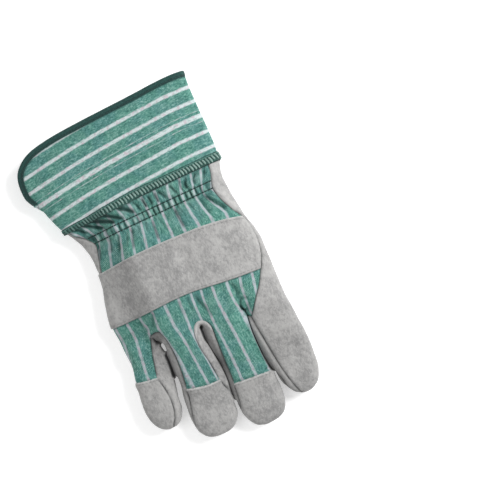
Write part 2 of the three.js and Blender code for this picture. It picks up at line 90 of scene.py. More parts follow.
# tip, power of the tip's curve, rows of y, middle, half width, half thickness
FINGERS = {
    "index": (128.9, 2.1, [
        (50, -57.0, 15.9, 10.8), (65, -56.7, 17.1, 10.4), (86, -57.2, 17.9, 10), (103, -57.7, 16.6, 9.4)]),
    "middle": (138.3, 2.6, [
        (48.5, -22.4, 17.6, 11.2), (65, -21.8, 17.2, 10.4), (80, -22.4, 15.7, 10.2), (100, -22.5, 16.7, 9.9),
        (115, -22.2, 17.8, 9.4)]),
    "ring": (130.9, 2.6, [
        (47.5, 12.4, 15.8, 11.2), (58, 12.8, 15, 10.6), (78, 12.2, 17.2, 10.2), (97, 14.3, 18.2, 9.8),
        (110, 15.9, 17.8, 9.4)]),
    "little": (110.3, 2.2, [
        (41, 44.8, 13.4, 11), (56, 43.7, 14.3, 10), (68, 45.8, 15.3, 9.6), (78, 47.6, 15.1, 9.4),
        (90, 49.7, 14.2, 9.2)]),
}
# y, middle height
FINGER_CENTRE = [(35, 12), (50, 11.2), (70, 10.4), (100, 9.8), (140, 9.2)]
# wrist side x and y, finger side x and y, half thickness
THUMB = [
    (-66, -50, -71.5, 2, 3.6),
    (-57, -52, -66, 9.5, 5.2),
    (-43, -52, -54, 16, 6),
    (-22, -41, -36, 27, 6),
    (-3, -20, -16, 38, 6),
    (11, 0, -4, 44, 6),
]
# The columns of HAND again, from the wrist to the mouth
CUFF = [
    (-62.1, -70.7, 61.5, 9.7, 12.7),
    (-66, -71.4, 63.3, 9.9, 12.4),
    (-76, -72.6, 67.2, 10.4, 11.6),
    (-84, -73, 70.4, 10.6, 11.2),
    (-90, -73.2, 75.4, 10.8, 11),
    (-98, -73.2, 79.6, 10.8, 10.8),
    (-106, -73.2, 80.4, 10.8, 10.8),
    (-122, -73.4, 80.6, 10.8, 10.8),
    (-142, -74.6, 80.8, 10.8, 10.8),
]
SLIT_END = -90
SLIT_HALF = 2.2

# Seams, seen from above, as smooth strokes. First the edges that the caps share with the canvas, and the
# lines along which the middle finger lies against its neighbours.
CAP_EDGES = {
    "middle": [(-37.0, 101.2), (-28, 100.6), (-18, 99.6), (-8.7, 98.7)],
    "ring": [(0.5, 91), (9, 91.1), (18, 89.6), (26.6, 87)],
    "little": [(43.8, 69.7), (52, 68.4), (60.5, 66.8), (67, 65.6)],
}
INDEX_GAP = [(-40.0, 61), (-39.1, 68), (-38.65, 82), (-38.75, 92), (-39.7, 101)]
RING_GAP = [
    (-3.7, 52), (-3.4, 58), (-4.6, 63.5), (-5.3, 72), (-5.9, 79), (-6.2, 87.5), (-5.9, 95), (-4.7, 101)]
CANVAS = [
    [(-61.5, -64), (-60.6, -56.4), (-58.2, -49), (-57, -44), (-59.2, -33.8), (-63.7, -23.9), (-68.5, -15.7),
     (-71.5, 4), (-69.8, 15), (-64.3, 27), (-57.6, 37.8), (-50.7, 46.2), (-45.6, 53), (-42.3, 57.2)],
    [(-42.3, 57.2), (-41.8, 56.2), (-41.0, 55.4)],
    [(-41.0, 55.4), (-39.6, 62), (-38.2, 72), (-37.7, 82), (-37.5, 92), (-37.0, 101.2)],
    CAP_EDGES["middle"],
    [(-8.7, 98.7), (-9.2, 88), (-9.6, 76.5), (-10.6, 62), (-11.2, 54), (-9.6, 47.6), (-5, 45.4), (-0.6, 46.6),
     (1.8, 50), (3.2, 57), (3.2, 64), (1.6, 76), (0.5, 91)],
    CAP_EDGES["ring"],
    [(26.6, 87), (24.2, 72), (23.4, 57), (24.6, 47), (26.8, 38.4)],
    [(26.8, 38.4), (30.4, 37.6), (34.4, 38.2)],
    [(34.4, 38.2), (36.6, 44), (39.4, 52), (41.6, 60.5), (43.8, 69.7)],
    CAP_EDGES["little"],
    [(67, 65.6), (67, 20), (58, -4), (51.5, -16), (49, -21.3)],
    [(49, -21.3), (45.9, -33.4), (43.7, -43.2), (46.5, -47.6), (51.5, -52.5), (57, -57), (60, -64)],
]
CAPS = {
    "middle": [
        CAP_EDGES["middle"],
        [(-8.7, 98.7), (-7.9, 104), (-7.0, 110), (-5.9, 117), (-2, 124)],
        [(-2, 124), (0, 145), (-46, 145), (-44, 112)],
        [(-44, 112), (-42.4, 107), (-40.6, 103.6), (-37.0, 101.2)],
    ],
    "ring": [
        CAP_EDGES["ring"],
        [(26.6, 87), (27.3, 92), (28.4, 97), (29.9, 103), (31.0, 108), (31.8, 113), (32.6, 118), (36, 124)],
        [(36, 124), (36, 140), (-6, 140), (-5, 113)],
        [(-5, 113), (-2.4, 107), (-1.2, 100), (0.5, 91)],
    ],
    "little": [
        CAP_EDGES["little"],
        [(67, 65.6), (72, 90), (66, 118), (50, 118)],
        [(50, 118), (47.5, 107.6), (44.8, 104), (42.4, 98), (41.3, 91), (41.3, 84), (42.4, 76), (43.8, 69.7)],
    ],
}
INDEX_SIDE = [
    [(-42.3, 57.2), (-42.8, 66), (-43.9, 79), (-45.1, 92), (-46.7, 105), (-49.6, 118.4), (-52.8, 127),
     (-54.8, 132)],
    [(-54.8, 132), (-41.2, 132)],
    [(-41.2, 132), (-41.0, 112), *INDEX_GAP[::-1], (-40.9, 56)],
    [(-40.9, 56), (-41.6, 56.3), (-42.3, 57.2)],
]
STRAP = [
    [(-68.4, -15.4), (-56.3, -18.6), (-36.7, -21.4), (-18.7, -22.4), (4, -23.2), (28, -22.8), (48.5, -21.6),
     (72, -21)],
    [(72, -21), (72, 20.6)],
    [(72, 20.6), (50, 21.6), (28.9, 21.4), (10, 20.6), (-6.8, 20.8), (-19, 22.1), (-42, 25), (-64.2, 26.8)],
    [(-64.2, 26.8), (-69.6, 15), (-71.4, 4), (-70.8, -6), (-68.4, -15.4)],
]
CROTCH_WELT = [
    [(-10.6, 58.5), (-11.3, 52), (-10.4, 47.8), (-8.1, 44.4), (-4.4, 42.8), (-0.9, 44.1), (1.6, 47.2),
     (2.9, 51.4), (3.3, 57)],
    [(3.3, 57), (1.2, 52.6), (-0.2, 49.2), (-1.9, 46.9), (-4.3, 46.0), (-6.7, 46.9), (-8.3, 49.6),
     (-9.5, 53), (-10.6, 58.5)],
]
CROTCH_HOLE = (-4.3, 48.0)
PALM_WELT = [
    [(-37, 45.9), (-24, 45.4), (-4.6, 44.7), (8, 45), (17.6, 44.6), (24, 41.2), (28.6, 36.8)],
    [(28.6, 36.8), (30, 39)],
    [(30, 39), (25.6, 42.8), (18.7, 47.2), (8, 47.6), (-4.6, 46.9), (-24, 47.8), (-37, 48.4)],
    [(-37, 48.4), (-37, 45.9)],
]
# The leather of the two middle fingers, round both of their sides
MIDDLE_LEATHER = [
    [(-39.4, 47.6), (-40.8, 54), *INDEX_GAP, (-41.0, 112), (-42.5, 145)],
    [(-42.5, 145), (-3.9, 145)],
    [(-3.9, 145), (-3.9, 112), *RING_GAP[::-1], (-4.6, 46.4)],
    [(-4.6, 46.4), (-39.4, 47.6)],
]
RING_LEATHER = [
    [(-4.6, 46.4), *RING_GAP, (-3.9, 112), (-3.9, 145)],
    [(-3.9, 145), (34.4, 145)],
    [(34.4, 145), (33.6, 92), (31.8, 78), (30.4, 70), (29.4, 63), (29.2, 56), (30.6, 36.4)],
    [(30.6, 36.4), (18, 46.2), (-4.6, 46.4)],
]
# Where two fingers lie against each other: the line between them, and how strong the painted shade on the
# thumb side one's flank is
MEETINGS = [
    ([(-39.4, 47), (-40.8, 54), *INDEX_GAP], 0),
    ([(-4.1, 48.4), *RING_GAP, (-3.9, 109)], 0.95),
    ([(29.2, 56.5), (29.4, 63), (30.4, 70), (31.0, 73.5)], 0),
    ([(31.8, 40), (31.0, 45.4)], 0),
]
# The ring finger's flank on the little finger's side, which gets painted shade too
RING_FLANK = [(31.6, 36), (30.4, 44), (29, 54), (29, 62), (30, 72), (31.4, 84), (32.6, 96), (33, 106)]
MOUTH = [
    (-92, -137.2), (-74.7, -137.4), (-64, -137.9), (-50, -137.6), (-29, -136.3), (15, -134.4),
    (36.7, -133.1), (50.1, -131.4), (61, -128.8), (68.3, -125), (74.8, -118.9), (77.8, -112.4),
    (79, -104.2), (78.6, -96.8), (76.1, -90.4),
]
BINDING_WIDTH = 5.1
THREAD_SIDES = 6

# Warp stripes of the back's canvas: the place across the glove of each stripe's middle, for rows along it.
WARP_ROWS = (-64, -52, -45, -34, -22, 0, 22, 35, 50, 65, 80, 102)
WARP = [
    (-76, -70, -66, -73, -80, -76, -69, -66, -62, -60, -60, -60),
    (-66.5, -60, -56, -62, -69, -66, -58, -55, -52, -50, -50, -50),
    (-55.5, -51, -49, -52.5, -58, -54, -48, -45, -43.5, -44, -44, -44),
    (-47, -44, -42.5, -44, -46.5, -42.5, -37, -35.5, -36.6, -37.2, -37.2, -37),
    (-37.5, -34, -33, -34, -35.5, -31, -25, -24, -24.5, -25.5, -26, -26.5),
    (-27, -24.5, -24, -24, -24, -20.5, -16, -14.5, -14.5, -15.3, -15.5, -15),
    (-15.7, -15, -14.5, -14, -14, -11.5, -8, -7, -7, -5.8, -5.8, -6),
    (-4, -5, -5, -4, -2.5, -0.5, 2.5, 3, 4, 3, 2, 1.5),
    (7.2, 5, 4, 5.5, 8, 11, 14, 14, 11.8, 10.8, 10, 9),
    (17.5, 14, 13, 15.5, 18, 21.5, 25, 26, 23.5, 21.5, 21.2, 20.5),
    (27.6, 23.5, 22.5, 25, 28.5, 32, 36, 34.5, 35.8, 38, 39, 40),
    (38.6, 33, 32.5, 35.5, 39.5, 43, 47, 46, 48, 50, 51, 52),
    (49.8, 42, 40, 45.5, 49.5, 53, 57, 56, 58, 60, 61, 62),
    (60.8, 50, 48, 56, 60, 63, 67, 66, 68, 70, 71, 72),
]
WARP_PITCH = 10.7
# How far the cuff's stripes bend towards the fingers, across the glove, and where their middles lie.
CUFF_BEND = [
    (-80, 0), (-70, 0), (-50, -0.2), (-30, 1.2), (-10, 2.6), (10, 4), (30, 6), (50, 8.6), (62, 10.3),
    (78, 12.6),
]
CUFF_STRIPES = (-123.8, -112.0, -99.7, -86.7, -74.1)

# Folds of the back: the line of each one, its half width and its depth.
FOLDS = [
    ([(55, -61), (49, -57), (43, -52.5)], 1.1, 1.5),
    ([(48, -61), (41, -57.5), (34, -53), (30, -51)], 1.3, 2.3),
    ([(40, -61), (33, -58), (27, -55), (20, -50.5)], 1.4, 2.6),
    ([(30, -61.5), (22, -57), (13.5, -51)], 1.2, 2.3),
    ([(17, -61.5), (9.5, -57), (4.2, -51)], 1.5, 2.6),
    ([(4, -61.5), (1.5, -57), (0.2, -51)], 0.9, 1.2),
    ([(-3.5, -61), (-5.2, -51.5)], 1.0, 1.6),
    ([(-9, -61), (-10.2, -51)], 1.1, 1.7),
    ([(-14.4, -61), (-14.8, -51)], 1.0, 1.5),
    ([(-17, -61), (-20, -56), (-22, -51)], 1.2, 1.8),
    ([(-27, -61), (-29, -56), (-31, -51)], 1.1, 1.7),
    ([(-36, -61), (-34.8, -56), (-35.5, -51)], 0.9, 1.2),
    ([(-42, -61), (-39, -56), (-39.8, -51)], 1.1, 1.5),
    ([(-50, -61), (-46, -56), (-46.6, -51)], 1.1, 1.5),
    ([(-57, -60.5), (-52.6, -52)], 1.0, 1.3),
    ([(-4.2, -43), (-3.6, -34), (-2.6, -24)], 1.2, 1.3),
    ([(-9.4, -43), (-10.8, -35), (-12, -28)], 1.0, 0.8),
    ([(-23.2, -44), (-24.2, -34), (-25.2, -23)], 1.3, 1.6),
    ([(-26.6, -44), (-28.6, -36)], 1.0, 0.9),
    ([(-48, -44), (-53, -36), (-58, -29), (-61, -22)], 1.4, 2.0),
    ([(-43.5, -44), (-45.5, -36), (-48, -24)], 1.1, 1.2),
    ([(12.4, -43), (14.6, -36), (18.2, -26)], 1.3, 1.5),
    ([(16, -43), (18.6, -37), (22, -30)], 1.0, 0.9),
    ([(23.5, -43.5), (26.4, -36), (29.5, -29)], 1.2, 1.4),
    ([(30.6, -44), (32.4, -38), (35.4, -31)], 1.1, 1.2),
    ([(41.5, -44), (43.6, -37), (46.6, -29)], 1.3, 1.5),
    ([(0.6, -43), (2.5, -35)], 1.0, 0.9),
    ([(-14.6, -43), (-16.2, -35)], 1.0, 0.9),
    ([(-34.4, -43), (-37.6, -34)], 1.1, 1.0),
    ([(7, -43), (8.6, -36)], 1.0, 0.8),
    ([(-9.4, 22), (-10.8, 30), (-13.4, 38), (-15.4, 46)], 1.6, 1.3),
    ([(-4.4, 22), (-3.4, 29), (-4.6, 36)], 1.2, 0.9),
    ([(3, 22), (4.4, 30), (3.4, 37)], 1.4, 0.6),
    ([(-38.5, 25.5), (-40.2, 34), (-38.6, 43)], 1.5, 1.2),
    ([(-31, 25), (-31.6, 33)], 1.2, 0.6),
    ([(-47, 42.5), (-41.5, 41.6), (-38.6, 45.5), (-38.9, 52)], 0.9, 1.5),
    ([(24.6, 22), (27.6, 28), (29.6, 34)], 1.4, 0.9),
    ([(38, 23), (37, 30), (34, 36)], 1.5, 0.8),
    ([(-19, 50), (-20.6, 60), (-19.6, 70)], 1.6, 0.4),
    ([(13, 50), (11.6, 60), (12.6, 72)], 1.6, 0.4),
]
# Dents of the whole hand, which the strap follows too.
DENTS = [
    ([(-14, -20), (-14.5, 0), (-12.6, 20)], 5.0, 1.5),
    ([(46, -19), (47, 0), (50, 19)], 4.5, 1.3),
    ([(31, -16), (30, 6), (27, 18)], 5.0, 0.6),
    ([(-48, -12), (-47, 8), (-44, 20)], 6.0, 0.7),
    ([(-9, 25), (-11.5, 33), (-13.5, 41)], 3.0, 1.3),
    ([(-40, 27), (-40.5, 35), (-39, 44)], 3.4, 1.5),
    ([(30, 25), (31.5, 32), (31, 37)], 3.2, 1.0),
    ([(-61, 84), (-62.5, 98), (-60, 112)], 4.5, 0.9),
    ([(-52, 60), (-53.5, 72)], 4.0, 0.5),
    ([(20, 52), (19, 66), (21, 80)], 2.6, 0.7),
    ([(-30, 56), (-31, 70), (-29.4, 84)], 2.6, 0.6),
    ([(50, 48), (51, 58)], 3.0, 0.5),
    ([(-16, 104), (-15, 116)], 4.0, 0.4),
    ([(20, 98), (21, 110)], 3.6, 0.4),
]
# The two rows of stitches that hold the elastic, and where the canvas is pinched between them
SEWN_ROWS = (-50, -44.4)
SEWN_MIDDLE = -47.2
PUCKERS = (
    41, 37, 31, 27, 20, 16, 9, 5, 0, -3.2, -9, -12.4, -17, -21.2, -26.8, -30.4, -36, -40, -44.3, -48.2, -53)
# Creases of the palm side: the line of each one, its half width and its depth.
PALM_CREASES = [
    ([(-30, 62), (-22, 64), (-13, 62)], 1.5, 0.9), ([(-31, 84), (-22, 86), (-13, 84)], 1.4, 0.7),
    ([(3, 60), (12, 62.5), (21, 60)], 1.5, 0.9), ([(3, 82), (13, 84), (22, 82)], 1.4, 0.7),
    ([(36, 52), (44, 54), (52, 51)], 1.5, 0.9), ([(38, 72), (46, 74), (55, 72)], 1.3, 0.7),
    ([(-68, 62), (-57, 65), (-47, 62)], 1.6, 0.9), ([(-68, 86), (-57, 88), (-48, 86)], 1.4, 0.7),
    ([(48, 18), (40, 24), (30, 27)], 1.8, 0.9), ([(50, -4), (40, 4), (30, 12), (24, 20)], 2.0, 0.8),
    ([(44, -40), (34, -30), (28, -18), (26, -4)], 2.2, 0.8), ([(30, -46), (20, -38), (10, -34)], 1.8, 0.7),
    ([(-34, 53), (-22, 55), (-11, 53)], 3.6, 1.1), ([(1, 52.5), (12, 54.5), (24, 51)], 3.6, 1.1),
    ([(34, 43), (44, 46), (54, 42)], 3.6, 1.0), ([(-70, 54), (-58, 58), (-46, 54)], 3.8, 1.0),
    ([(-34, 97), (-22, 100), (-11, 97)], 4.6, 0.7), ([(2, 93), (14, 96), (26, 93)], 4.6, 0.7),
    ([(-70, 74), (-59, 78), (-48, 74)], 4.6, 0.6), ([(36, 62), (46, 65), (56, 61)], 4.4, 0.6),
]


# Numbers and curves
def smooth(low, high, value):
    t = np.clip((value - low) / (high - low), 0, 1)
    return t * t * (3 - 2 * t)


def bump(distance, width):
    return np.exp(-((distance / width) ** 2))


def plateau(value, low, high, end, past):
    """Rises from 0 to 1 between low and high, and falls back between end and past."""
    return smooth(low, high, value) * (1 - smooth(end, past, value))


def dome(distance, width):
    """A round rise from 0 at an edge to 1 at a width inside it."""
    return np.sqrt(np.clip(1 - (1 - np.minimum(distance / width, 1)) ** 2, 0, 1))


def unit(vectors):
    return vectors / np.maximum(np.linalg.norm(vectors, axis=1), 1e-9)[:, None]


def travelled(line):
    """How far along a line each of its points lies."""
    return np.concatenate([[0], np.cumsum(np.linalg.norm(np.diff(line, axis=0), axis=1))])


def evenly(line, at):
    """The points of a line at distances along it."""
    lengths = travelled(line)
    return np.stack([np.interp(at, lengths, line[:, k]) for k in range(line.shape[1])], 1)


def tree_of(points, tris):
    return BVHTree.FromPolygons([tuple(q) for q in points], [tuple(int(i) for i in t) for t in tris])


def table_at(rows, wanted):
    """The columns of a table at values of its first column, on a curve that never overshoots its rows."""
    rows = np.array(rows, float)
    if rows[0, 0] > rows[-1, 0]:
        rows = rows[::-1]
    x = rows[:, 0]
    gap = np.diff(x)
    slope = np.diff(rows, axis=0) / gap[:, None]
    turn = np.zeros_like(rows)
    turn[0], turn[-1] = slope[0], slope[-1]
    both = slope[:-1] * slope[1:]
    total = slope[:-1] + slope[1:]
    turn[1:-1] = np.where(both > 0, 2 * both / np.where(total == 0, 1, total), 0)
    wanted = np.clip(np.atleast_1d(np.asarray(wanted, float)), x[0], x[-1])
    i = np.clip(np.searchsorted(x, wanted) - 1, 0, len(gap) - 1)
    h = gap[i][:, None]
    t = ((wanted - x[i]) / gap[i])[:, None]
    return (
        (2 * t**3 - 3 * t**2 + 1) * rows[i] + (t**3 - 2 * t**2 + t) * h * turn[i]
        + (3 * t**2 - 2 * t**3) * rows[i + 1] + (t**3 - t**2) * h * turn[i + 1]
    )


def between(values, spacing):
    """The given values with more put between them, so that none is further than spacing from the next."""
    out = [values[0]]
    for low, high in zip(values, values[1:]):
        count = max(1, math.ceil(abs(high - low) / spacing - 0.05))
        out += [low + (high - low) * (k + 1) / count for k in range(count)]
    return out


def stroke(points, step=1.6):
    """Points along a smooth curve through the given ones."""
    p = np.array(points, float)
    if len(p) == 2:
        count = max(1, int(np.linalg.norm(p[1] - p[0]) / (3 * step)))
        return p[0] + (p[1] - p[0]) * np.linspace(0, 1, count + 1)[:, None]
    p = np.vstack([2 * p[0] - p[1], p, 2 * p[-1] - p[-2]])
    out = []
    for a, b, c, d in zip(p, p[1:], p[2:], p[3:]):
        times = np.cumsum([0, *[max(np.linalg.norm(q), 1e-6) ** 0.5 for q in (b - a, c - b, d - c)]])
        count = max(1, math.ceil(np.linalg.norm(c - b) / step))
        for t in np.linspace(times[1], times[2], count, endpoint=False):
            u = [((times[k + 1] - t) * q + (t - times[k]) * r) / (times[k + 1] - times[k])
                 for k, (q, r) in enumerate(((a, b), (b, c), (c, d)))]
            v = [((times[k + 2] - t) * u[k] + (t - times[k]) * u[k + 1]) / (times[k + 2] - times[k])
                 for k in (0, 1)]
            out.append(((times[2] - t) * v[0] + (t - times[1]) * v[1]) / (times[2] - times[1]))
    return np.array([*out, p[-2]])


def outline(strokes):
    return np.vstack([stroke(s)[:-1] for s in strokes])


def line_distance(line, xy, closed=False, reach=9.0):
    """How far points lie from a line, up to reach; negative inside a closed one."""
    low, high = line.min(0) - reach, line.max(0) + reach
    near = ((xy > low) & (xy < high)).all(1)
    out = np.full(len(xy), float(reach))
    p = xy[near]
    best = np.full(len(p), float(reach) ** 2)
    inside = np.zeros(len(p), bool)
    ends = np.roll(line, -1, 0) if closed else line[1:]
    for a, b in zip(line, ends):
        d = b - a
        t = np.clip(((p - a) @ d) / max(d @ d, 1e-12), 0, 1)
        e = p - a - t[:, None] * d
        best = np.minimum(best, (e * e).sum(1))
        if closed and a[1] != b[1]:
            crosses = (a[1] > p[:, 1]) != (b[1] > p[:, 1])
            inside ^= crosses & (p[:, 0] < a[0] + (p[:, 1] - a[1]) * d[0] / d[1])
    out[near] = np.sqrt(best) * np.where(inside, -1, 1)
    return out


def along_line(line, xy):
    """The share of a line's length at which it comes nearest to each point."""
    lengths = travelled(line)
    best, at = np.full(len(xy), np.inf), np.zeros(len(xy))
    for k, (a, b) in enumerate(zip(line, line[1:])):
        d = b - a
        t = np.clip(((xy - a) @ d) / max(d @ d, 1e-12), 0, 1)
        e = ((xy - a - t[:, None] * d) ** 2).sum(1)
        closer = e < best
        best[closer] = e[closer]
        at[closer] = (lengths[k] + t[closer] * (lengths[k + 1] - lengths[k])) / lengths[-1]
    return at


def noise(p, size, seed=0):
    """Smooth bumps between -1 and 1, about size across. They are the same in every run."""
    q = p / size + seed * 17.31
    cell = np.floor(q).astype(np.int64)
    f = q - cell
    u = f * f * f * (f * (f * 6 - 15) + 10)
    total = np.zeros(len(p))
    for corner in range(1 << p.shape[1]):
        at = np.full(len(p), seed * 974711, np.int64)
        weight = np.ones(len(p))
        for axis, prime in enumerate((374761393, 668265263, 1442695041)[: p.shape[1]]):
            on = corner >> axis & 1
            at += (cell[:, axis] + on) * prime
            weight *= u[:, axis] if on else 1 - u[:, axis]
        at = (at ^ (at >> 13)) * 1274126177
        at ^= at >> 16
        total += weight * ((at & 0xFFFF) / 32767.5 - 1)
    return total


# The glove's middle and its lift over the thumb
def lift(x, y):
    across = 1 - smooth(20, 43, x)
    return (THUMB_THICKNESS + THUMB_CLEARANCE) * across * plateau(y, -82, -48, 48, 108)


def column(rows, at, which):
    """A column of a table at values of its first column, straight between its rows."""
    rows = sorted(rows)
    return np.interp(at, [r[0] for r in rows], [r[which] for r in rows])


def middle_height(p):
    y = p[:, 1]
    flat = np.where(y < 35, column(HAND, y, 4), column(FINGER_CENTRE, y, 1))
    return flat - PRESS + lift(p[:, 0], y)


def cuff_middle(p):
    return column(CUFF, p[:, 1], 4) - PRESS + lift(p[:, 0], p[:, 1])


def seam_low(x):
    return np.interp(x, [-72, -20, 10, 40, 62], [-62.2, -62.4, -61.4, -60.4, -60.0])


def seam_high(x):
    return np.interp(x, [-72, -30, 0, 30, 62], [-68.6, -68.2, -68.3, -65.8, -64.0])


def in_seam(p):
    low, high = seam_low(p[:, 0]), seam_high(p[:, 0])
    return np.maximum(high - p[:, 1], p[:, 1] - low)


def seam_share(p):
    low, high = seam_low(p[:, 0]), seam_high(p[:, 0])
    return np.clip((p[:, 1] - high) / (low - high), 0, 1)


def by_seam(p):
    """How near a point lies to the seam between hand and cuff, from 0 to 1."""
    return bump(np.maximum(in_seam(p), 0), 4)


# Cages
TOP_ANGLES = (146, 110, 70, 34)


def settle(x, y, z):
    return (x, y, max(0.0, z - PRESS) + float(lift(np.float64(x), np.float64(y))))


def superellipse(degrees, power):
    angle = math.radians(degrees)
    return [math.copysign(abs(v) ** (2 / power), v) for v in (math.cos(angle), math.sin(angle))]


class Cage:
    """A net of faces, each listed counterclockwise from outside."""

    def __init__(self):
        self.points, self.faces = [], []

    def add(self, point):
        self.points.append(point)
        return len(self.points) - 1

    def face(self, corners):
        kept = list(dict.fromkeys(corners))
        if len(kept) > 2:
            self.faces.append(kept)

    def bridge(self, pairs):
        """Faces between the two rings of each pair, the back one first."""
        for pair in pairs:
            back, front = ([r["thumb"], *r["top"], r["little"], *r["bottom"][::-1]] for r in pair)
            for i in range(len(back)):
                j = (i + 1) % len(back)
                self.face([back[i], back[j], front[j], front[i]])

    def ring(self, point_at):
        return {
            "thumb": self.add(point_at(180)), "top": [self.add(point_at(d)) for d in TOP_ANGLES],
            "little": self.add(point_at(0)), "bottom": [self.add(point_at(360 - d)) for d in TOP_ANGLES],
        }

    def row(self, row, shares):
        y, thumb_side, little_side, rise, centre = row

        def at(share, side):
            up = max(0.0, 1 - abs(2 * share - 1) ** ROUNDNESS) ** (1 / ROUNDNESS)
            x = thumb_side + share * (little_side - thumb_side)
            return self.add(settle(x, y, centre + side * rise * up))

        return {
            "thumb": at(0, 1), "top": [at(s, 1) for s in shares], "little": at(1, 1),
            "bottom": [at(s, -1) for s in shares],
        }

    def close_tip(self, end, nose_at):
        nose = [self.add(nose_at(self.points[i])) for i in end["top"]]
        row = [end["thumb"], *nose, end["little"]]
        top = [end["thumb"], *end["top"], end["little"]]
        bottom = [end["thumb"], *end["bottom"], end["little"]]
        for i in range(len(row) - 1):
            self.face([row[i], top[i], top[i + 1], row[i + 1]])
            self.face([bottom[i], row[i], row[i + 1], bottom[i + 1]])


def tip_rings(power):
    """How far along a rounded tip each of its rings lies, and its size."""
    for degrees in TIP_ANGLES:
        angle = math.radians(degrees)
        yield math.sin(angle) ** (2 / power), math.cos(angle) ** (2 / power)


def add_finger(cage, tip, power, rows):
    rows = [tuple(r) for r in table_at(rows, between([r[0] for r in rows], 9.0))]
    y, x, half, rise = rows[-1]
    start, middle, width = y, x, half
    rows += [(y + (tip - y) * share, x, half * scale, rise * scale) for share, scale in tip_rings(power)]
    rings = []
    for y, x, half, rise in rows:
        def at(degrees):
            across, up = superellipse(degrees, ROUNDNESS)
            return settle(x + half * across, y, float(column(FINGER_CENTRE, y, 1)) + rise * up)
        rings.append(cage.ring(at))
    cage.bridge(zip(rings, rings[1:]))

    def nose(p):
        share = (1 - (abs(p[0] - middle) / width) ** power) ** (1 / power)
        return settle(p[0], start + (tip - start) * share, float(column(FINGER_CENTRE, tip, 1)))

    cage.close_tip(rings[-1], nose)
    return rings[0]


def hand_cage():
    cage = Cage()
    bases = [add_finger(cage, *finger) for finger in FINGERS.values()]
    west, east = cage.points[bases[0]["thumb"]][0], cage.points[bases[-1]["little"]][0]
    shares = [(cage.points[i][0] - west) / (east - west) for base in bases for i in base["top"]]
    ys = [-61.8, -60.2, -57, -54, -50, -47, -44, -40, *between([-34, -20, 5, 21, 35], 8.5)]
    rings = [cage.row(row, shares) for row in table_at(HAND, ys)]
    cage.bridge(zip(rings, rings[1:]))
    last = rings[-1]
    top, bottom = last["top"], last["bottom"]
    for f, base in enumerate(bases):
        for k in range(3):
            near = 4 * f + k
            cage.face([top[near], top[near + 1], base["top"][k + 1], base["top"][k]])
            cage.face([bottom[near + 1], bottom[near], base["bottom"][k], base["bottom"][k + 1]])
        if f + 1 < len(bases):
            other, near = bases[f + 1], 4 * f + 3
            cage.face([top[near], top[near + 1], other["top"][0], base["top"][-1]])
            cage.face([base["top"][-1], other["top"][0], other["thumb"], base["little"]])
            cage.face([base["little"], other["thumb"], other["bottom"][0], base["bottom"][-1]])
            cage.face([bottom[near + 1], bottom[near], base["bottom"][-1], other["bottom"][0]])
    a, b = bases[0], bases[-1]
    cage.face([last["thumb"], top[0], a["top"][0], a["thumb"]])
    cage.face([bottom[0], last["thumb"], a["thumb"], a["bottom"][0]])
    cage.face([top[-1], last["little"], b["little"], b["top"][-1]])
    cage.face([last["little"], bottom[-1], b["bottom"][-1], b["little"]])
    return cage, shares


def sleeve_cage(rows, shares):
    """A sleeve through rows from its finger end to its cuff end."""
    cage = Cage()
    rings = [cage.row(row, shares) for row in rows]
    cage.bridge(zip(rings[1:], rings))
    return cage


def thumb_cage():
    cage = Cage()
    half = THUMB_THICKNESS / 2
    numbered = [(k, *row) for k, row in enumerate(THUMB)]
    rows = [tuple(r[1:]) for r in table_at(numbered, np.arange(0, len(THUMB) - 0.9, 0.5))]
    wx, wy, fx, fy, _ = rows[-1]
    width = math.hypot(fx - wx, fy - wy)
    ahead = ((fy - wy) / width * THUMB_TIP_LENGTH, -(fx - wx) / width * THUMB_TIP_LENGTH)
    tip = [(rows[-1], scale, share) for share, scale in tip_rings(THUMB_TIP_POWER)]
    rows = [(row, 1.0, 0.0) for row in rows] + tip

    def place(row, scale, forward, across, up):
        share = 0.5 - across * scale / 2
        x = row[0] + (row[2] - row[0]) * share + ahead[0] * forward
        y = row[1] + (row[3] - row[1]) * share + ahead[1] * forward
        return (x, y, max(0.0, half + (row[4] + 0.6) * scale * up - 0.6))

    rings = [cage.ring(lambda d: place(*row, *superellipse(d, THUMB_ROUNDNESS))) for row in rows]
    cage.bridge(zip(rings, rings[1:]))
    end = rows[-1][2]

    def nose(p):
        off = math.hypot(p[0] - (wx + fx) / 2 - ahead[0] * end, p[1] - (wy + fy) / 2 - ahead[1] * end)
        more = (1 - (off / (width / 2)) ** THUMB_TIP_POWER) ** (1 / THUMB_TIP_POWER) - end
        return (p[0] + ahead[0] * more, p[1] + ahead[1] * more, half - 0.6)

    cage.close_tip(rings[-1], nose)
    start = rings[0]
    top = [start["thumb"], *start["top"], start["little"]]
    bottom = [start["thumb"], *start["bottom"], start["little"]]
    for i in range(len(top) - 1):
        cage.face([top[i], bottom[i], bottom[i + 1], top[i + 1]])
    return cage


# Skins: triangles with their outward directions
def subdivided(points, faces, level):
    mesh = bpy.data.meshes.new("cage")
    mesh.from_pydata([tuple(p) for p in points], [], faces)
    made = bpy.data.objects.new("cage", mesh)
    bpy.context.scene.collection.objects.link(made)
    modifier = made.modifiers.new("smooth", "SUBSURF")
    modifier.levels = level
    modifier.use_limit_surface = True
    done = made.evaluated_get(bpy.context.evaluated_depsgraph_get()).to_mesh()
    co = np.zeros(len(done.vertices) * 3)
    done.vertices.foreach_get("co", co)
    quads = np.zeros(len(done.loops), np.int64)
    done.loops.foreach_get("vertex_index", quads)
    bpy.data.objects.remove(made)
    bpy.data.meshes.remove(mesh)
    return co.reshape(-1, 3), quads.reshape(-1, 4)


def vertex_normals(points, tris):
    a, b, c = (points[tris[:, k]] for k in range(3))
    n = np.cross(b - a, c - a)
    out = np.zeros_like(points)
    for k in range(3):
        for axis in range(3):
            out[:, axis] += np.bincount(tris[:, k], n[:, axis], len(points))
    return unit(out)


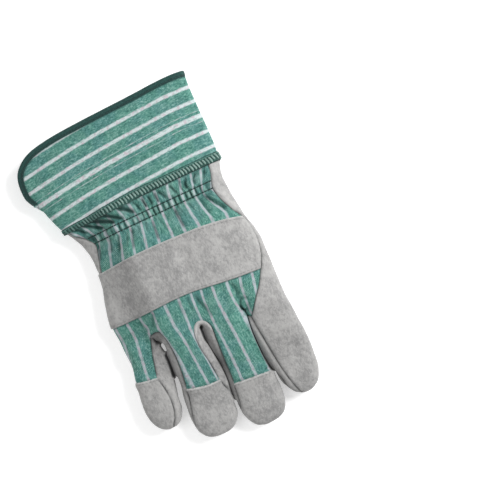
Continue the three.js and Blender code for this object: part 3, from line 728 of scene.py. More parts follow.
def directed_edges(tris):
    return np.vstack([tris[:, [0, 1]], tris[:, [1, 2]], tris[:, [2, 0]]])


def turns(tris, on_edges):
    """Triangles and the points on their edges, begun at each of their corners in turn."""
    for k in range(3):
        turned = [(k + j) % 3 for j in range(3)]
        yield tris[:, turned], on_edges[:, turned]


def split_up(tris, on_edges, chosen, *parts):
    """The parts of the chosen triangles: 0 to 2 are the corners, 3 to 5 the points on edges 01, 12 and 20."""
    six = np.hstack([tris, on_edges])[chosen]
    return [six[:, [int(k) for k in part]] for part in parts]


class Skin:
    """Points, their outward directions and triangles."""

    def __init__(self, points, normals, tris):
        self.p, self.n, self.t = points, normals, tris

    @classmethod
    def of(cls, cage):
        """The smooth skin that passes through a cage's points."""
        target = np.array(cage.points, float)
        points = target.copy()
        for _ in range(6):
            found, _ = subdivided(points, cage.faces, 1)
            points += target - found[: len(points)]
        p, quads = subdivided(points, cage.faces, LEVEL)
        tris = np.vstack([quads[:, [0, 1, 2]], quads[:, [0, 2, 3]]])
        p[:, 2] = np.maximum(p[:, 2], 0)
        return cls(p, vertex_normals(p, tris), tris)

    def edges(self):
        """The ends of each edge, and the numbers of each triangle's edges 01, 12 and 20."""
        pairs = np.sort(directed_edges(self.t), axis=1)
        unique, where = np.unique(pairs[:, 0] * (len(self.p) + 1) + pairs[:, 1], return_inverse=True)
        ends = np.stack([unique // (len(self.p) + 1), unique % (len(self.p) + 1)], 1)
        return ends, where.reshape(3, -1).T

    def refined(self, wanted):
        """Four triangles for each wanted one, and halves next to them."""
        edges, of_tri = self.edges()
        split = np.zeros(len(edges), bool)
        split[of_tri[wanted].ravel()] = True
        a, b = edges[split].T
        n = unit(self.n[a] + self.n[b])
        crown = ((self.p[b] - self.p[a]) * (self.n[b] - self.n[a])).sum(1) / 8
        number = np.full(len(edges), -1)
        number[split] = len(self.p) + np.arange(split.sum())
        p = np.vstack([self.p, (self.p[a] + self.p[b]) / 2 + n * crown[:, None]])
        m = number[of_tri]
        count = (m >= 0).sum(1)
        out = [self.t[count == 0], *split_up(self.t, m, count == 3, "035", "314", "542", "345")]
        for t, m in turns(self.t, m):
            out += split_up(t, m, (count == 1) & (m[:, 0] >= 0), "032", "312")
            out += split_up(t, m, (count == 2) & (m[:, 2] < 0), "034", "314", "042")
        return Skin(p, np.vstack([self.n, n]), np.vstack(out))

    def cut(self, measure, level=0.0, snap=0.14):
        """Splits triangles so that edges run along the line where the measure has a level."""
        value = measure(self.p) - level
        near = np.flatnonzero(np.abs(value) < snap)
        if len(near):
            p, e = self.p[near], 0.05
            slope = np.stack([measure(p + e * axis) - measure(p - e * axis) for axis in np.eye(3)], 1)
            slope /= 2 * e
            size = (slope**2).sum(1)
            good = size > 0.2
            self.p[near[good]] -= (value[near] / np.maximum(size, 0.2))[good, None] * slope[good]
            value[near[good]] = 0
        side = np.sign(value)
        edges, of_tri = self.edges()
        crossing = side[edges[:, 0]] * side[edges[:, 1]] < 0
        a, b = edges[crossing].T
        share = (value[a] / (value[a] - value[b]))[:, None]
        number = np.full(len(edges), -1)
        number[crossing] = len(self.p) + np.arange(crossing.sum())
        self.p = np.vstack([self.p, self.p[a] + share * (self.p[b] - self.p[a])])
        self.n = np.vstack([self.n, unit(self.n[a] + share * (self.n[b] - self.n[a]))])
        m = number[of_tri]
        count = (m >= 0).sum(1)
        out = [self.t[count == 0]]
        for t, m in turns(self.t, m):
            out += split_up(t, m, (count == 1) & (m[:, 1] >= 0), "014", "042")
            out += split_up(t, m, (count == 2) & (m[:, 1] < 0), "035", "312", "325")
        self.t = np.vstack(out)

    def centres(self):
        return self.p[self.t].mean(1)

    def only(self, keep):
        """The triangles to keep, with the numbers of their points in this skin."""
        used, where = np.unique(self.t[keep], return_inverse=True)
        made = Skin(self.p[used], self.n[used], where.reshape(-1, 3))
        made.used = used
        return made

    def within(self, measure, insets=(), margin=4):
        """The part where a measure is below 0, with edges along lines inside it too."""
        part = self.only(measure(self.centres()) < margin)
        for inset in (0, *insets):
            part.cut(measure, -inset)
        return part.only(measure(part.centres()) < 0)


def border(tris):
    """The directed edges that only one triangle has."""
    edges = directed_edges(tris)
    key = np.sort(edges, axis=1)
    code = key[:, 0] * (tris.max() + 1) + key[:, 1]
    _, where, count = np.unique(code, return_inverse=True, return_counts=True)
    return edges[count[where.ravel()] == 1]


def thick(outer, inner, tris):
    """A closed wall between two layers with the same triangles: its points, its triangles, and the kind of
    each one, which is 0 outside, 1 on the rim and 2 inside."""
    count = len(outer)
    rim = border(tris)
    a, b = rim.T
    walls = [np.stack([b, a, a + count], 1), np.stack([b, a + count, b + count], 1)]
    faces = np.vstack([tris, *walls, tris[:, ::-1] + count])
    kind = np.repeat([0, 1, 2], [len(tris), 2 * len(rim), len(tris)])
    return np.vstack([outer, inner]), faces, kind


# Pieces
def piece(name, points, faces, materials, kind=None, uv=None, values=None, replaces=(), sharp=50):
    """A Blender object from points in millimetres. kind picks each face's material, uv has two numbers for
    each point, and values has named numbers for each point."""
    co = (points + SHIFT) / 1000
    mesh = bpy.data.meshes.new(name)
    mesh.vertices.add(len(co))
    mesh.vertices.foreach_set("co", co.astype(np.float32).ravel())
    sides = faces.shape[1]
    mesh.loops.add(faces.size)
    mesh.loops.foreach_set("vertex_index", faces.astype(np.int32).ravel())
    mesh.polygons.add(len(faces))
    mesh.polygons.foreach_set("loop_start", np.arange(0, faces.size, sides, dtype=np.int32))
    if kind is not None:
        mesh.polygons.foreach_set("material_index", np.asarray(kind, np.int32))
    mesh.update(calc_edges=True)
    mesh.shade_smooth()
    mesh.set_sharp_from_angle(angle=math.radians(sharp))
    if uv is not None:
        layer = mesh.uv_layers.new(name="weave")
        layer.uv.foreach_set("vector", uv[faces.ravel()].astype(np.float32).ravel())
    for key, numbers in (values or {}).items():
        made = mesh.attributes.new(key, "FLOAT", "POINT")
        made.data.foreach_set("value", np.asarray(numbers, np.float32))
    for material in materials:
        mesh.materials.append(material)
    mesh.validate()
    obj = bpy.data.objects.new(name, mesh)
    bpy.context.scene.collection.objects.link(obj)
    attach(obj, "root")
    if replaces:
        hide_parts(*replaces)


def wall(name, outer, inner, tris, materials, uv, values, replaces):
    """A piece that is a closed wall between two layers. uv and values are those of one layer."""
    points, faces, kind = thick(outer, inner, tris)
    kind = kind if len(materials) > 1 else None
    uv = None if uv is None else np.tile(uv, (2, 1))
    values = {key: np.tile(numbers, 2) for key, numbers in values.items()}
    piece(name, points, faces, materials, kind, uv, values, replaces)


class Threads:
    """Many short round threads, gathered into one mesh."""

    def __init__(self):
        self.points, self.faces, self.tints, self.count = [], [], [], 0

    def add(self, line, radius, taper=0.35, tint=0.0):
        """A thread along a line of points, thinner at its ends."""
        line = np.asarray(line, float)
        along = unit(np.gradient(line, axis=0))
        side = unit(np.cross(along, [0.12, 0.31, 0.94]))
        up = np.cross(side, along)
        rows, k = len(line), THREAD_SIDES
        r = np.full(rows, radius)
        r[0] = r[-1] = radius * taper
        angle = 2 * np.pi * np.arange(k) / k
        ring = side[:, None] * np.cos(angle)[None, :, None] + up[:, None] * np.sin(angle)[None, :, None]
        points = (line[:, None] + ring * r[:, None, None]).reshape(-1, 3)
        tips = np.vstack([line[0] - along[0] * radius * 0.5, line[-1] + along[-1] * radius * 0.5])
        for placed in (points, tips):
            placed[:, 2] = np.maximum(placed[:, 2], 0.01)
        first, last, start = self.count, self.count + (rows - 1) * k, self.count + rows * k
        i, j = np.meshgrid(np.arange(rows - 1), np.arange(k), indexing="ij")
        a, b = first + i * k + j, first + i * k + (j + 1) % k
        c, d = a + k, b + k
        j = np.arange(k)
        after = (j + 1) % k
        self.faces += [
            np.stack([a, b, d], -1).reshape(-1, 3),
            np.stack([a, d, c], -1).reshape(-1, 3),
            np.stack([np.full(k, start), first + after, first + j], 1),
            np.stack([np.full(k, start + 1), last + j, last + after], 1),
        ]
        self.points += [points, tips]
        self.tints += [tint] * (len(points) + 2)
        self.count += rows * k + 2

    def piece(self, name, material, slot):
        points, faces = np.vstack(self.points), np.vstack(self.faces)
        piece(name, points, faces, [material], values={"tint": self.tints}, sharp=80)


def on_surface(tree, xy, from_above=True):
    """The places straight above or below points on a surface, with its directions there, or None."""
    out = []
    for x, y in xy:
        start = Vector((x, y, 80 if from_above else -20))
        found = tree.ray_cast(start, Vector((0, 0, -1 if from_above else 1)))
        out.append(None if found[0] is None else (np.array(found[0]), np.array(found[1])))
    return out


def resampled(line, step):
    """Points every step along a line, and its directions there."""
    line = np.asarray(line, float)
    length = travelled(line)[-1]
    p = evenly(line, np.arange(0, length + 1e-6, length / max(1, round(length / step))))
    return p, unit(np.gradient(p, axis=0))


def moved_line(line, distance):
    """A line moved to its left."""
    d = unit(np.gradient(line, axis=0))
    return line + np.stack([-d[:, 1], d[:, 0]], 1) * distance


def sew(threads, tree, line, pitch, length, radius, from_above=True, sink=0.2):
    """A row of stitches along a line on a surface, with none where it is steep."""
    steep = 0.25
    shares = np.array([-0.5, -0.36, 0, 0.36, 0.5])
    heights = np.array([-sink * 1.6, radius * 0.1, radius * 0.55, radius * 0.1, -sink * 1.6])
    for p, d in zip(*resampled(line, pitch)):
        found = on_surface(tree, p + np.outer(shares * length, d), from_above)
        if any(f is None for f in found):
            continue
        normal = np.mean([f[1] for f in found], axis=0)
        normal /= max(np.linalg.norm(normal), 1e-9)
        if abs(normal[2]) >= steep:
            threads.add([f[0] + normal * h for f, h in zip(found, heights)], radius)


# Where the panels lie
CANVAS_LINE = outline(CANVAS)
CAP_LINES = {name: outline(strokes) for name, strokes in CAPS.items()}
INDEX_SIDE_LINE = outline(INDEX_SIDE)
STRAP_LINE = outline(STRAP)
WARP_TABLE = [(y, *(line[k] for line in WARP)) for k, y in enumerate(WARP_ROWS)]


def on_back(line, drop=0.0):
    """Below 0 inside an outline on the back of the glove, down to drop below its middle."""
    return lambda p: np.maximum(line_distance(line, p[:, :2], True), middle_height(p) - drop - p[:, 2])


def on_both(line):
    return lambda p: line_distance(line, p[:, :2], True)


IN_CANVAS = on_back(CANVAS_LINE)
IN_CAPS = {name: on_back(line, TIP_DROP) for name, line in CAP_LINES.items()}
IN_INDEX_SIDE = on_back(INDEX_SIDE_LINE, TIP_DROP)
IN_MIDDLE = on_both(outline(MIDDLE_LEATHER))
IN_RING = on_both(outline(RING_LEATHER))


def in_any_cap(p):
    return np.minimum.reduce([measure(p) for measure in IN_CAPS.values()])


def cap_edge(p):
    return np.minimum.reduce([line_distance(stroke(s), p[:, :2]) for s in CAP_EDGES.values()])


def warp_place(p):
    """How far a point lies across the warp, in millimetres of cloth."""
    places = table_at(WARP_TABLE, p[:, 1])[:, 1:]
    k = np.clip((places <= p[:, :1]).sum(1) - 1, 0, places.shape[1] - 2)
    low, high = places[np.arange(len(p)), k], places[np.arange(len(p)), k + 1]
    return (k + (p[:, 0] - low) / (high - low)) * WARP_PITCH


def creases(p, table, length=0.2):
    """The depth of a table of creases at each point."""
    out = np.zeros(len(p))
    for points, width, depth in table:
        line = stroke(points)
        near = ((p[:, :2] > line.min(0) - 3 * width) & (p[:, :2] < line.max(0) + 3 * width)).all(1)
        q = p[near, :2]
        if not len(q):
            continue
        share = along_line(line, q)
        ends = plateau(share, 0, length, 1 - 1.3 * length, 1)
        out[near] += depth * ends * bump(line_distance(line, q, reach=4 * width), width)
    return out


def upper(p):
    return smooth(-1.5, 2.5, p[:, 2] - middle_height(p))


def shared_relief(p):
    """What every layer of the hand does: its broad dents and unevenness."""
    return -creases(p, DENTS, 0.3) * upper(p) + 0.3 * noise(p, 24, 1) + 0.14 * noise(p, 10, 2)


def canvas_relief(p):
    """Gathers, puckers and small folds, with painted shade in their hollows and painted highlight on their
    ridges.
    """
    x, y = p[:, 0], p[:, 1]
    folds = creases(p, FOLDS)
    pucks = sorted(PUCKERS)
    phase = np.interp(x, pucks, np.arange(len(pucks)))
    pinched = (0.5 + 0.5 * np.cos(2 * np.pi * phase)) ** 3 * (0.9 + 0.4 * noise(p[:, :2] * (1, 0.2), 5, 7))
    between_rows = bump(y - SEWN_MIDDLE, 3.7)
    out = (0.7 - 1.7 * pinched) * between_rows - folds
    # Painted shade in the pinches and folds, and painted highlight on the puffs between the pinches
    dark = pinched * between_rows + 0.62 * folds
    light = (1 - pinched) ** 2 * bump(y - SEWN_MIDDLE, 2.3)
    light *= 0.45 + 0.7 * noise(p[:, :2] * (1, 0.4), 2.6, 13)
    for row in SEWN_ROWS:
        # Pulled in along the stitched rows, which are darker, partly the stitching and partly painted shade
        out -= 0.7 * bump(y - row, 0.75)
        dark += 0.3 * bump(y - row, 0.8)
    above = plateau(y, -62, -60, -52.5, -50.5)
    below = smooth(-44.2, -42.2, y) * np.exp(-np.maximum(y + 43, 0) / 9)
    small = above * 1.25 * noise(p[:, :2] * (1, 0.42) + 40, 3.0, 8)
    small += below * noise(np.stack([x + 0.25 * (y + 43) * np.sign(x + 8), y * 0.22], 1), 3.2, 9)
    out += 0.75 * small + above * (0.9 - 0.3 * np.abs(y + 56) / 4)
    # Painted shade in the small folds' hollows, painted shadow below the overlocked seam, and painted
    # highlight on the small folds' ridges
    dark += 0.5 * np.clip(-small, 0, 1) + 0.55 * bump(y - seam_low(x) - 0.6, 1.2)
    light = light + 0.35 * np.clip(small, 0, 1)
    soft = 0.2 * noise(p[:, :2] * (1, 0.5), 5.5, 10) + 0.08 * noise(p, 2.4, 11)
    return out + soft, dark - 0.5 * soft - 0.08, np.clip(light, 0, 1)


def leather_relief(p):
    top = upper(p)
    out = 0.16 * noise(p, 6.5, 21) + 0.07 * noise(p, 2.6, 22)
    return out - 1.3 * creases(p, PALM_CREASES, 0.3) * (1 - top)


def finger_gaps(p, high, top):
    """How far points lie from where two fingers meet, and the painted shade on the flanks beside such a
    place.
    """
    apart, dark = np.full(len(p), 9.0), np.zeros(len(p))
    leaning = p[:, :2] - np.stack([0.3 * np.clip(high, -4, 4), 0 * high], 1)
    wide = 7.5 - 4.5 * smooth(76, 98, p[:, 1])
    for points, darkness in [*MEETINGS, (RING_FLANK, 0.5)]:
        line = stroke(points)
        west = np.interp(p[:, 1], line[:, 1], line[:, 0]) - p[:, 0]
        first, last = points[0][1], points[-1][1]
        ends = plateau(p[:, 1], first + 4, first + 13, last - 15, last - 5)
        dark += darkness * ends * smooth(wide, 0.25 * wide, west) * (west > -0.4) * (0.35 + 0.65 * top)
        if points is not RING_FLANK:
            apart = np.minimum(apart, line_distance(line, leaning))
    return apart, dark


def hand_relief(p, normal):
    """How far the outer skin lies outside its plain shape, and its pale edges, dark seams, painted highlights
    and painted shade.
    """
    xy, x, y = p[:, :2], p[:, 0], p[:, 1]
    canvas, caps = IN_CANVAS(p), in_any_cap(p)
    side = np.where(IN_MIDDLE(p) < 0, 20, IN_INDEX_SIDE(p))
    top = upper(p)
    high = p[:, 2] - middle_height(p)
    strap = line_distance(STRAP_LINE, xy, True) + 20 * (1 - top)
    side_seam = line_distance(stroke(INDEX_SIDE[0]), xy) + 20 * (1 - top)
    seam = np.minimum.reduce([np.abs(canvas), np.abs(caps), side_seam])
    edge = cap_edge(p) + 20 * (1 - top)
    at_edge = bump(edge, 2.2)
    cloth = smooth(-0.2, 1.6, -canvas)
    gathers, dark, light = canvas_relief(p)
    detail = (gathers * cloth + leather_relief(p) * (1 - cloth)) * smooth(0.3, 2.6, strap)
    valley = -0.85 * bump(seam, 0.62) + 0.3 * bump(seam - 2.3, 1.4)
    valley *= np.where(y > 60, smooth(-1, 4.5, high), 1)
    step = np.where(caps <= 0, -0.35 + 1.15 * smooth(0, 0.8, edge), -0.35 * bump(edge, 1.8))
    step = np.where(caps <= 0, step * bump(np.maximum(edge - 1, 0), 6), step)
    # Dented at the crotch hole, with painted shadow in it, added to the dark seam marks below
    hole = bump(np.linalg.norm(xy - CROTCH_HOLE, axis=1), 1.45) * top
    # Painted shadow on the canvas just below the strap's lower edge
    under_strap = bump(line_distance(stroke(STRAP[2]), xy), 1.0) * top
    # Painted highlight on the leather beside the canvas at the wrist's thumb side
    crescent_highlight = np.where(x < -50, bump(line_distance(CANVAS_LINE, xy, True) - 4, 4.0), 0)
    crescent_highlight *= plateau(y, -66, -58, -26, -12)
    # Painted shade on the crotch gusset between the ring and little fingers
    gusset = smooth(-1.5, 1.5, 47 - y + 0.5 * (x - 31)) * bump(x - 30.6, 5.5) * (canvas > 0) * top
    gusset *= smooth(33, 37, y)
    shoulder = smooth(50, 62, y) * bump(high - 5.4, 2.4)
    # dark_flank is painted shade on the flanks beside where fingers meet
    apart, dark_flank = finger_gaps(p, high, top)
    closing = np.maximum(apart - 0.1, 0) * bump(np.maximum(apart - 1.4, 0), 1.0)
    closing *= smooth(0.97, 0.6, np.abs(normal[:, 2]))
    # Dips beside the palm welt, with painted shade there
    at_welt = bump(line_distance(outline(PALM_WELT), xy, True), 0.9) * (1 - top)
    uneven = 0.85 + 0.45 * noise(p, 5, 12)
    lip = np.where(caps <= 0, 1 - smooth(0.45, 0.95, edge), 0) * (edge < 18)
    ridge = (side <= 0) * bump(seam - 1.5, 0.8) * (1 - at_edge)
    # Dark seam lines, partly dark thread and partly painted shade in their valleys, and painted shadow on the
    # canvas below the caps' edges
    line = bump(seam, 0.5) * (1 - at_edge) * uneven + 0.55 * bump(edge, 0.6) * (caps > 0) * uneven
    relief = shared_relief(p) + detail + valley * (1 - at_edge) + step * (edge < 18)
    relief = relief - 2.4 * hole + 0.9 * shoulder
    relief = np.where(apart < 3, np.minimum(relief + closing, apart - 0.09), relief)
    # Painted shade, darker towards the fingertips
    tips = smooth(58, 84, y) * (1 - cloth)
    # Pale cut edges of the caps and ridges beside the side strip's seams, with painted highlights on the
    # wrist's crescent, the index side strip and the canvas's puffs
    pale = 0.8 * lip + 0.3 * ridge * (1 - smooth(86, 100, y)) + 0.3 * crescent_highlight
    pale = pale + 0.16 * (side <= 0) * top * (1 - smooth(84, 104, y)) + light * cloth
    # Painted shadow in the crotch hole and in the gaps between fingers, added to the dark seams
    seams_and_gap_shadow = np.clip(line, 0, 1) + 1.3 * hole + bump(apart, 1.2) * (high < 8) * (1 - 0.7 * smooth(98, 105, y))
    # Painted shade in the canvas's folds, under the strap, on the gusset, beside the palm welt, on the finger
    # flanks, towards the fingertips, at the index strip's lower end and in the palm's creases
    shaded = dark * cloth + 0.75 * under_strap * (strap > -1) + 1.05 * gusset + 0.8 * at_welt
    shaded = shaded + dark_flank + 0.1 * tips + 0.3 * (side <= 0) * smooth(92, 116, y)
    shaded = shaded + 0.22 * creases(p, PALM_CREASES, 0.3) * (1 - top)
    marks = {"pale": pale, "seam": np.clip(seams_and_gap_shadow, 0, 1), "shade": np.clip(shaded, 0, 1.15)}
    return relief - 0.6 * at_welt, marks


# Materials
class Finish:
    """A material and the nodes in it."""

    def __init__(self, name, roughness, sheen=0.0, sheen_roughness=0.5, specular=0.3):
        self.material = bpy.data.materials.new(name)
        self.material.use_nodes = True
        self.tree = self.material.node_tree
        self.shader = self.tree.nodes["Principled BSDF"]
        self.shader.inputs["Roughness"].default_value = roughness
        self.shader.inputs["Sheen Weight"].default_value = sheen
        self.shader.inputs["Sheen Roughness"].default_value = sheen_roughness
        self.shader.inputs["Specular IOR Level"].default_value = specular

    def add(self, kind, settings=None, **inputs):
        """A new node. An input is named, or has its number after an i."""
        node = self.tree.nodes.new("ShaderNode" + kind)
        for key, value in (settings or {}).items():
            setattr(node, key, value)
        for key, value in inputs.items():
            numbered = key[0] == "i" and key[1:].isdigit()
            self.put(node.inputs[int(key[1:]) if numbered else key], value)
        return node

    def put(self, socket, value):
        if isinstance(value, bpy.types.NodeSocket):
            self.tree.links.new(value, socket)
        else:
            socket.default_value = value

    def math(self, operation, a, b=0.0, c=0.0, clamp=False):
        return self.add("Math", {"operation": operation, "use_clamp": clamp}, i0=a, i1=b, i2=c).outputs[0]

    def times(self, value, share):
        return self.math("MULTIPLY", value, share)

    def total(self, *parts):
        """The sum of values, each with its share."""
        out = self.times(*parts[0])
        for part in parts[1:]:
            out = self.math("ADD", out, self.times(*part))
        return out

    def wave(self, value, length):
        return self.math("SINE", self.times(value, 2 * math.pi / length))

    def value(self, name):
        return self.add("Attribute", {"attribute_name": name, "attribute_type": "GEOMETRY"}).outputs["Fac"]

    def stretched(self, vector, scale, turn=0.0):
        return self.add("Mapping", None, Vector=vector, Rotation=(0, 0, turn), Scale=scale).outputs[0]

    def place(self, scale=(1, 1, 1), turn=0.0):
        """Places on the object in millimetres, stretched."""
        return self.stretched(self.add("TexCoord").outputs["Object"], tuple(1000 * s for s in scale), turn)

    def weave(self):
        found = self.add("UVMap", {"uv_map": "weave"}).outputs["UV"]
        return found, self.add("SeparateXYZ", None, Vector=found)

    def noise(self, vector, size, detail=2.0, roughness=0.5, distortion=0.0):
        """Between 0 and 1, with bumps about size across in the vector's units."""
        return self.add("TexNoise", None, Vector=vector, Scale=1 / size, Detail=detail, Roughness=roughness,
                        Distortion=distortion).outputs["Fac"]

    def range(self, value, low, high, to_low=0.0, to_high=1.0):
        return self.add("MapRange", {"interpolation_type": "SMOOTHSTEP"}, i0=value, i1=low, i2=high,
                        i3=to_low, i4=to_high).outputs[0]

    def mix(self, factor, a, b, blend="MIX"):
        node = self.tree.nodes.new("ShaderNodeMix")
        node.data_type, node.blend_type = "RGBA", blend
        self.put(node.inputs[0], factor)
        self.put(node.inputs[6], a)
        self.put(node.inputs[7], b)
        return node.outputs[2]

    def marked(self, colour, name, share, mark):
        """A colour, with a share of another one where a piece's numbers of that name say so."""
        return self.mix(self.math("MULTIPLY", self.value(name), share, clamp=True), colour, mark)

    def bumped(self, height, distance, strength=1.0, normal=None):
        node = self.add("Bump", None, Strength=strength, Distance=distance, Height=height)
        if normal is not None:
            self.put(node.inputs["Normal"], normal)
        return node.outputs[0]

    def done(self, colour, normal=None):
        self.put(self.shader.inputs["Base Color"], colour)
        if normal is not None:
            self.put(self.shader.inputs["Normal"], normal)
        return self.material


def grey(v, warm=0.0):
    return (v * (1 + warm), v, v * (1 - 1.6 * warm), 1)


def suede(name, dark=0.222, light=0.378, seams_and_painted_light=True):
    """Split cowhide: a matt nap, mottled where it is brushed either way, with small scars."""
    f = Finish(name, 0.93, sheen=0.2, sheen_roughness=0.45, specular=0.18)
    at = f.place()
    broad, patch = f.noise(at, 26, 3, 0.55), f.noise(at, 7, 4, 0.6, 0.6)
    nap = f.noise(f.place((1, 0.6, 1), 0.5), 1.9, 5, 0.74)
    hair = f.noise(f.place((1, 0.22, 1), -0.35), 0.6, 3, 0.7)
    tone = f.total((broad, 0.27), (patch, 0.2), (nap, 0.42), (hair, 0.21))
    colour = f.mix(f.range(tone, 0.43, 0.645), grey(dark, 0.004), grey(light, 0.012))
    scar = f.range(f.noise(f.place((0.5, 1.4, 1), 0.9), 1.7, 3, 0.65, 1.4), 0.64, 0.73)
    colour = f.mix(f.times(scar, 0.3), colour, grey(dark * 0.55, 0.02))
    fleck = f.range(f.noise(f.place((1.3, 0.6, 1), -0.6), 1.3, 2, 0.6, 0.8), 0.65, 0.75)
    colour = f.mix(f.times(fleck, 0.42), colour, grey(light * 1.35, 0.01))
    if seams_and_painted_light:
        # Paler cut edges with painted highlights, painted shade, and dark seams with painted shadow in the
        # gaps between fingers
        colour = f.marked(colour, "pale", 0.8, grey(0.56, 0.012))
        colour = f.marked(colour, "shade", 0.62, grey(0.1, 0.01))
        colour = f.marked(colour, "seam", 0.86, (0.038, 0.042, 0.042, 1))
    normal = f.bumped(f.total((nap, 0.7), (hair, 0.4)), 0.00042, 0.8)
    dimples = f.math("SUBTRACT", f.noise(at, 4.2, 3, 0.55), f.times(scar, 0.35))
    normal = f.bumped(dimples, 0.0011, 0.6, normal)
    return f.done(colour, normal)


TEAL_DARK, TEAL, TEAL_LIGHT = (0.032, 0.12, 0.1, 1), (0.088, 0.25, 0.205, 1), (0.25, 0.43, 0.375, 1)
TEAL_BLUE = (0.08, 0.225, 0.21, 1)
LILAC, PINK, STRIPE_DULL = (0.4, 0.44, 0.475, 1), (0.4, 0.355, 0.4, 1), (0.22, 0.32, 0.315, 1)
CUFF_PALES = (0.56, 0.62, 0.63, 1), (0.53, 0.46, 0.505, 1), (0.32, 0.44, 0.42, 1)


def canvas(name, stripe_of, paler=0.0, pales=(LILAC, PINK, STRIPE_DULL)):
    """Striped cotton twill with heathered threads. stripe_of gives how far the nearest stripe's edge lies."""
    f = Finish(name, 0.88, sheen=0.1, specular=0.18)
    uv, parts = f.weave()
    across, along = parts.outputs[0], parts.outputs[1]
    heather = f.noise(f.stretched(uv, (1.0, 0.6, 1)), 1.15, 4, 0.78)
    slub = f.noise(f.stretched(uv, (1.5, 0.4, 1), 0.8), 1.7, 3, 0.65)
    blotch = f.noise(f.place(), 5.5, 3, 0.6)
    twill = f.wave(f.math("ADD", across, f.times(along, 0.8)), 1.25)
    warp = f.wave(across, 0.62)
    shown = f.range(f.noise(f.place(), 16, 2, 0.5), 0.42, 0.62)
    tone = f.total((heather, 0.5), (slub, 0.3), (blotch, 0.2), (f.times(twill, shown), 0.075))
    middle = f.mix(f.range(f.noise(f.place(), 19, 2, 0.5), 0.42, 0.6), TEAL, TEAL_BLUE)
    cloth = f.mix(f.range(tone, 0.4, 0.52), TEAL_DARK, middle)
    cloth = f.mix(f.range(tone, 0.5, 0.64), cloth, TEAL_LIGHT)
    rough = f.times(f.math("SUBTRACT", heather, 0.5), 2.2)
    thin = f.times(f.math("SUBTRACT", blotch, 0.5), 1.1)
    edge = f.math("ADD", stripe_of(f, across), f.math("ADD", rough, thin))
    stripe = f.range(edge, -0.5, 0.5, 1.0, 0.0)
    pale = f.mix(f.range(f.noise(f.place(), 3.4, 2, 0.6), 0.5, 0.64), pales[0], pales[1])
    pale = f.mix(f.range(slub, 0.5, 0.34), pale, pales[2])
    colour = f.mix(f.times(stripe, 0.94), cloth, pale)
    if paler:
        colour = f.mix(paler, colour, (0.5, 0.56, 0.53, 1))
    # Painted highlight on the puffs and fold ridges, dark seams, and painted shade in the folds, pinches and
    # hollows
    colour = f.marked(colour, "pale", 0.6, (0.42, 0.54, 0.51, 1))
    colour = f.marked(colour, "seam", 0.8, (0.012, 0.036, 0.034, 1))
    colour = f.marked(colour, "shade", 0.78, (0.012, 0.05, 0.044, 1))
    return f.done(colour, f.bumped(f.total((twill, 0.35), (warp, 0.2), (heather, 1.5)), 0.00026, 0.85))


def warp_stripes(f, across):
    return f.math("SUBTRACT", f.math("PINGPONG", across, WARP_PITCH / 2), 1.05)


def cuff_stripes(f, across):
    def apart(middle, half):
        return f.math("SUBTRACT", f.math("ABSOLUTE", f.math("SUBTRACT", across, middle)), half)

    found = apart(-135.0, 1.3)
    for middle in CUFF_STRIPES:
        found = f.math("MINIMUM", found, apart(middle, 1.65 if middle == CUFF_STRIPES[2] else 1.3))
    for offset in (-4.4, 4.6):
        found = f.math("MINIMUM", found, apart(CUFF_STRIPES[2] + offset, -0.02))
    return found


def yarn(name, colour, other, pitch=0.45, tint=None):
    """Twisted thread: two shades in fine slanted ribs, and a third colour where tint says."""
    f = Finish(name, 0.75, sheen=0.1)
    at = f.place((1, 1, 1), 0.6)
    parts = f.add("SeparateXYZ", None, Vector=at)
    rib = f.wave(f.math("ADD", parts.outputs[0], parts.outputs[2]), pitch)
    fuzz = f.noise(at, 0.7, 4, 0.7)
    normal = f.bumped(f.total((rib, 0.5), (fuzz, 1)), 0.00018, 0.8)
    shade = f.mix(f.range(f.total((rib, 0.18), (fuzz, 1)), 0.3, 0.75), colour, other)
    return f.done(f.mix(f.value("tint"), shade, tint) if tint else shade, normal)


def tape(name, dark, light):
    """Ribbed tape, with its ribs along the weave's second direction."""
    f = Finish(name, 0.8, sheen=0.15, specular=0.25)
    uv, parts = f.weave()
    rib = f.wave(parts.outputs[0], 0.8)
    fuzz = f.noise(f.stretched(uv, (0.5, 1.6, 1)), 1.1, 4, 0.7)
    colour = f.mix(f.range(f.total((rib, 0.12), (fuzz, 1)), 0.32, 0.74), dark, light)
    colour = f.marked(colour, "seam", 0.8, (0.006, 0.018, 0.017, 1))
    return f.done(colour, f.bumped(f.total((rib, 0.5), (fuzz, 1)), 0.00025, 0.8))


SUEDE = suede("split_leather")
SUEDE_INSIDE = suede("split_leather_inside", 0.3, 0.43, seams_and_painted_light=False)
SUEDE_EDGE = suede("split_leather_cut_edge", 0.36, 0.5, seams_and_painted_light=False)
CANVAS_BACK = canvas("striped_canvas", warp_stripes)
CANVAS_INSIDE = canvas("striped_canvas_inside", warp_stripes, 0.4)
CANVAS_CUFF = canvas("striped_canvas_cuff", cuff_stripes, 0.0, CUFF_PALES)
CANVAS_CUFF_INSIDE = canvas("striped_canvas_cuff_inside", cuff_stripes, 0.4, CUFF_PALES)
TAPE = tape("binding_tape", (0.006, 0.03, 0.027, 1), (0.022, 0.085, 0.075, 1))
SEAM_BASE = yarn("overlock_base", (0.012, 0.045, 0.038, 1), (0.04, 0.12, 0.1, 1), 0.6, tint=TEAL)
SEAM_THREAD = yarn(
    "overlock_thread", (0.16, 0.29, 0.255, 1), (0.4, 0.54, 0.49, 1), tint=(0.035, 0.11, 0.095, 1))
DARK_THREAD = yarn("dark_green_thread", (0.004, 0.02, 0.018, 1), (0.014, 0.055, 0.048, 1))
GREY_THREAD = yarn("grey_thread", (0.15, 0.15, 0.147, 1), (0.34, 0.34, 0.335, 1))
ELASTIC = tape("elastic_web", (0.42, 0.42, 0.4, 1), (0.66, 0.66, 0.63, 1))

LEATHER = (SUEDE, SUEDE_EDGE, SUEDE_INSIDE)

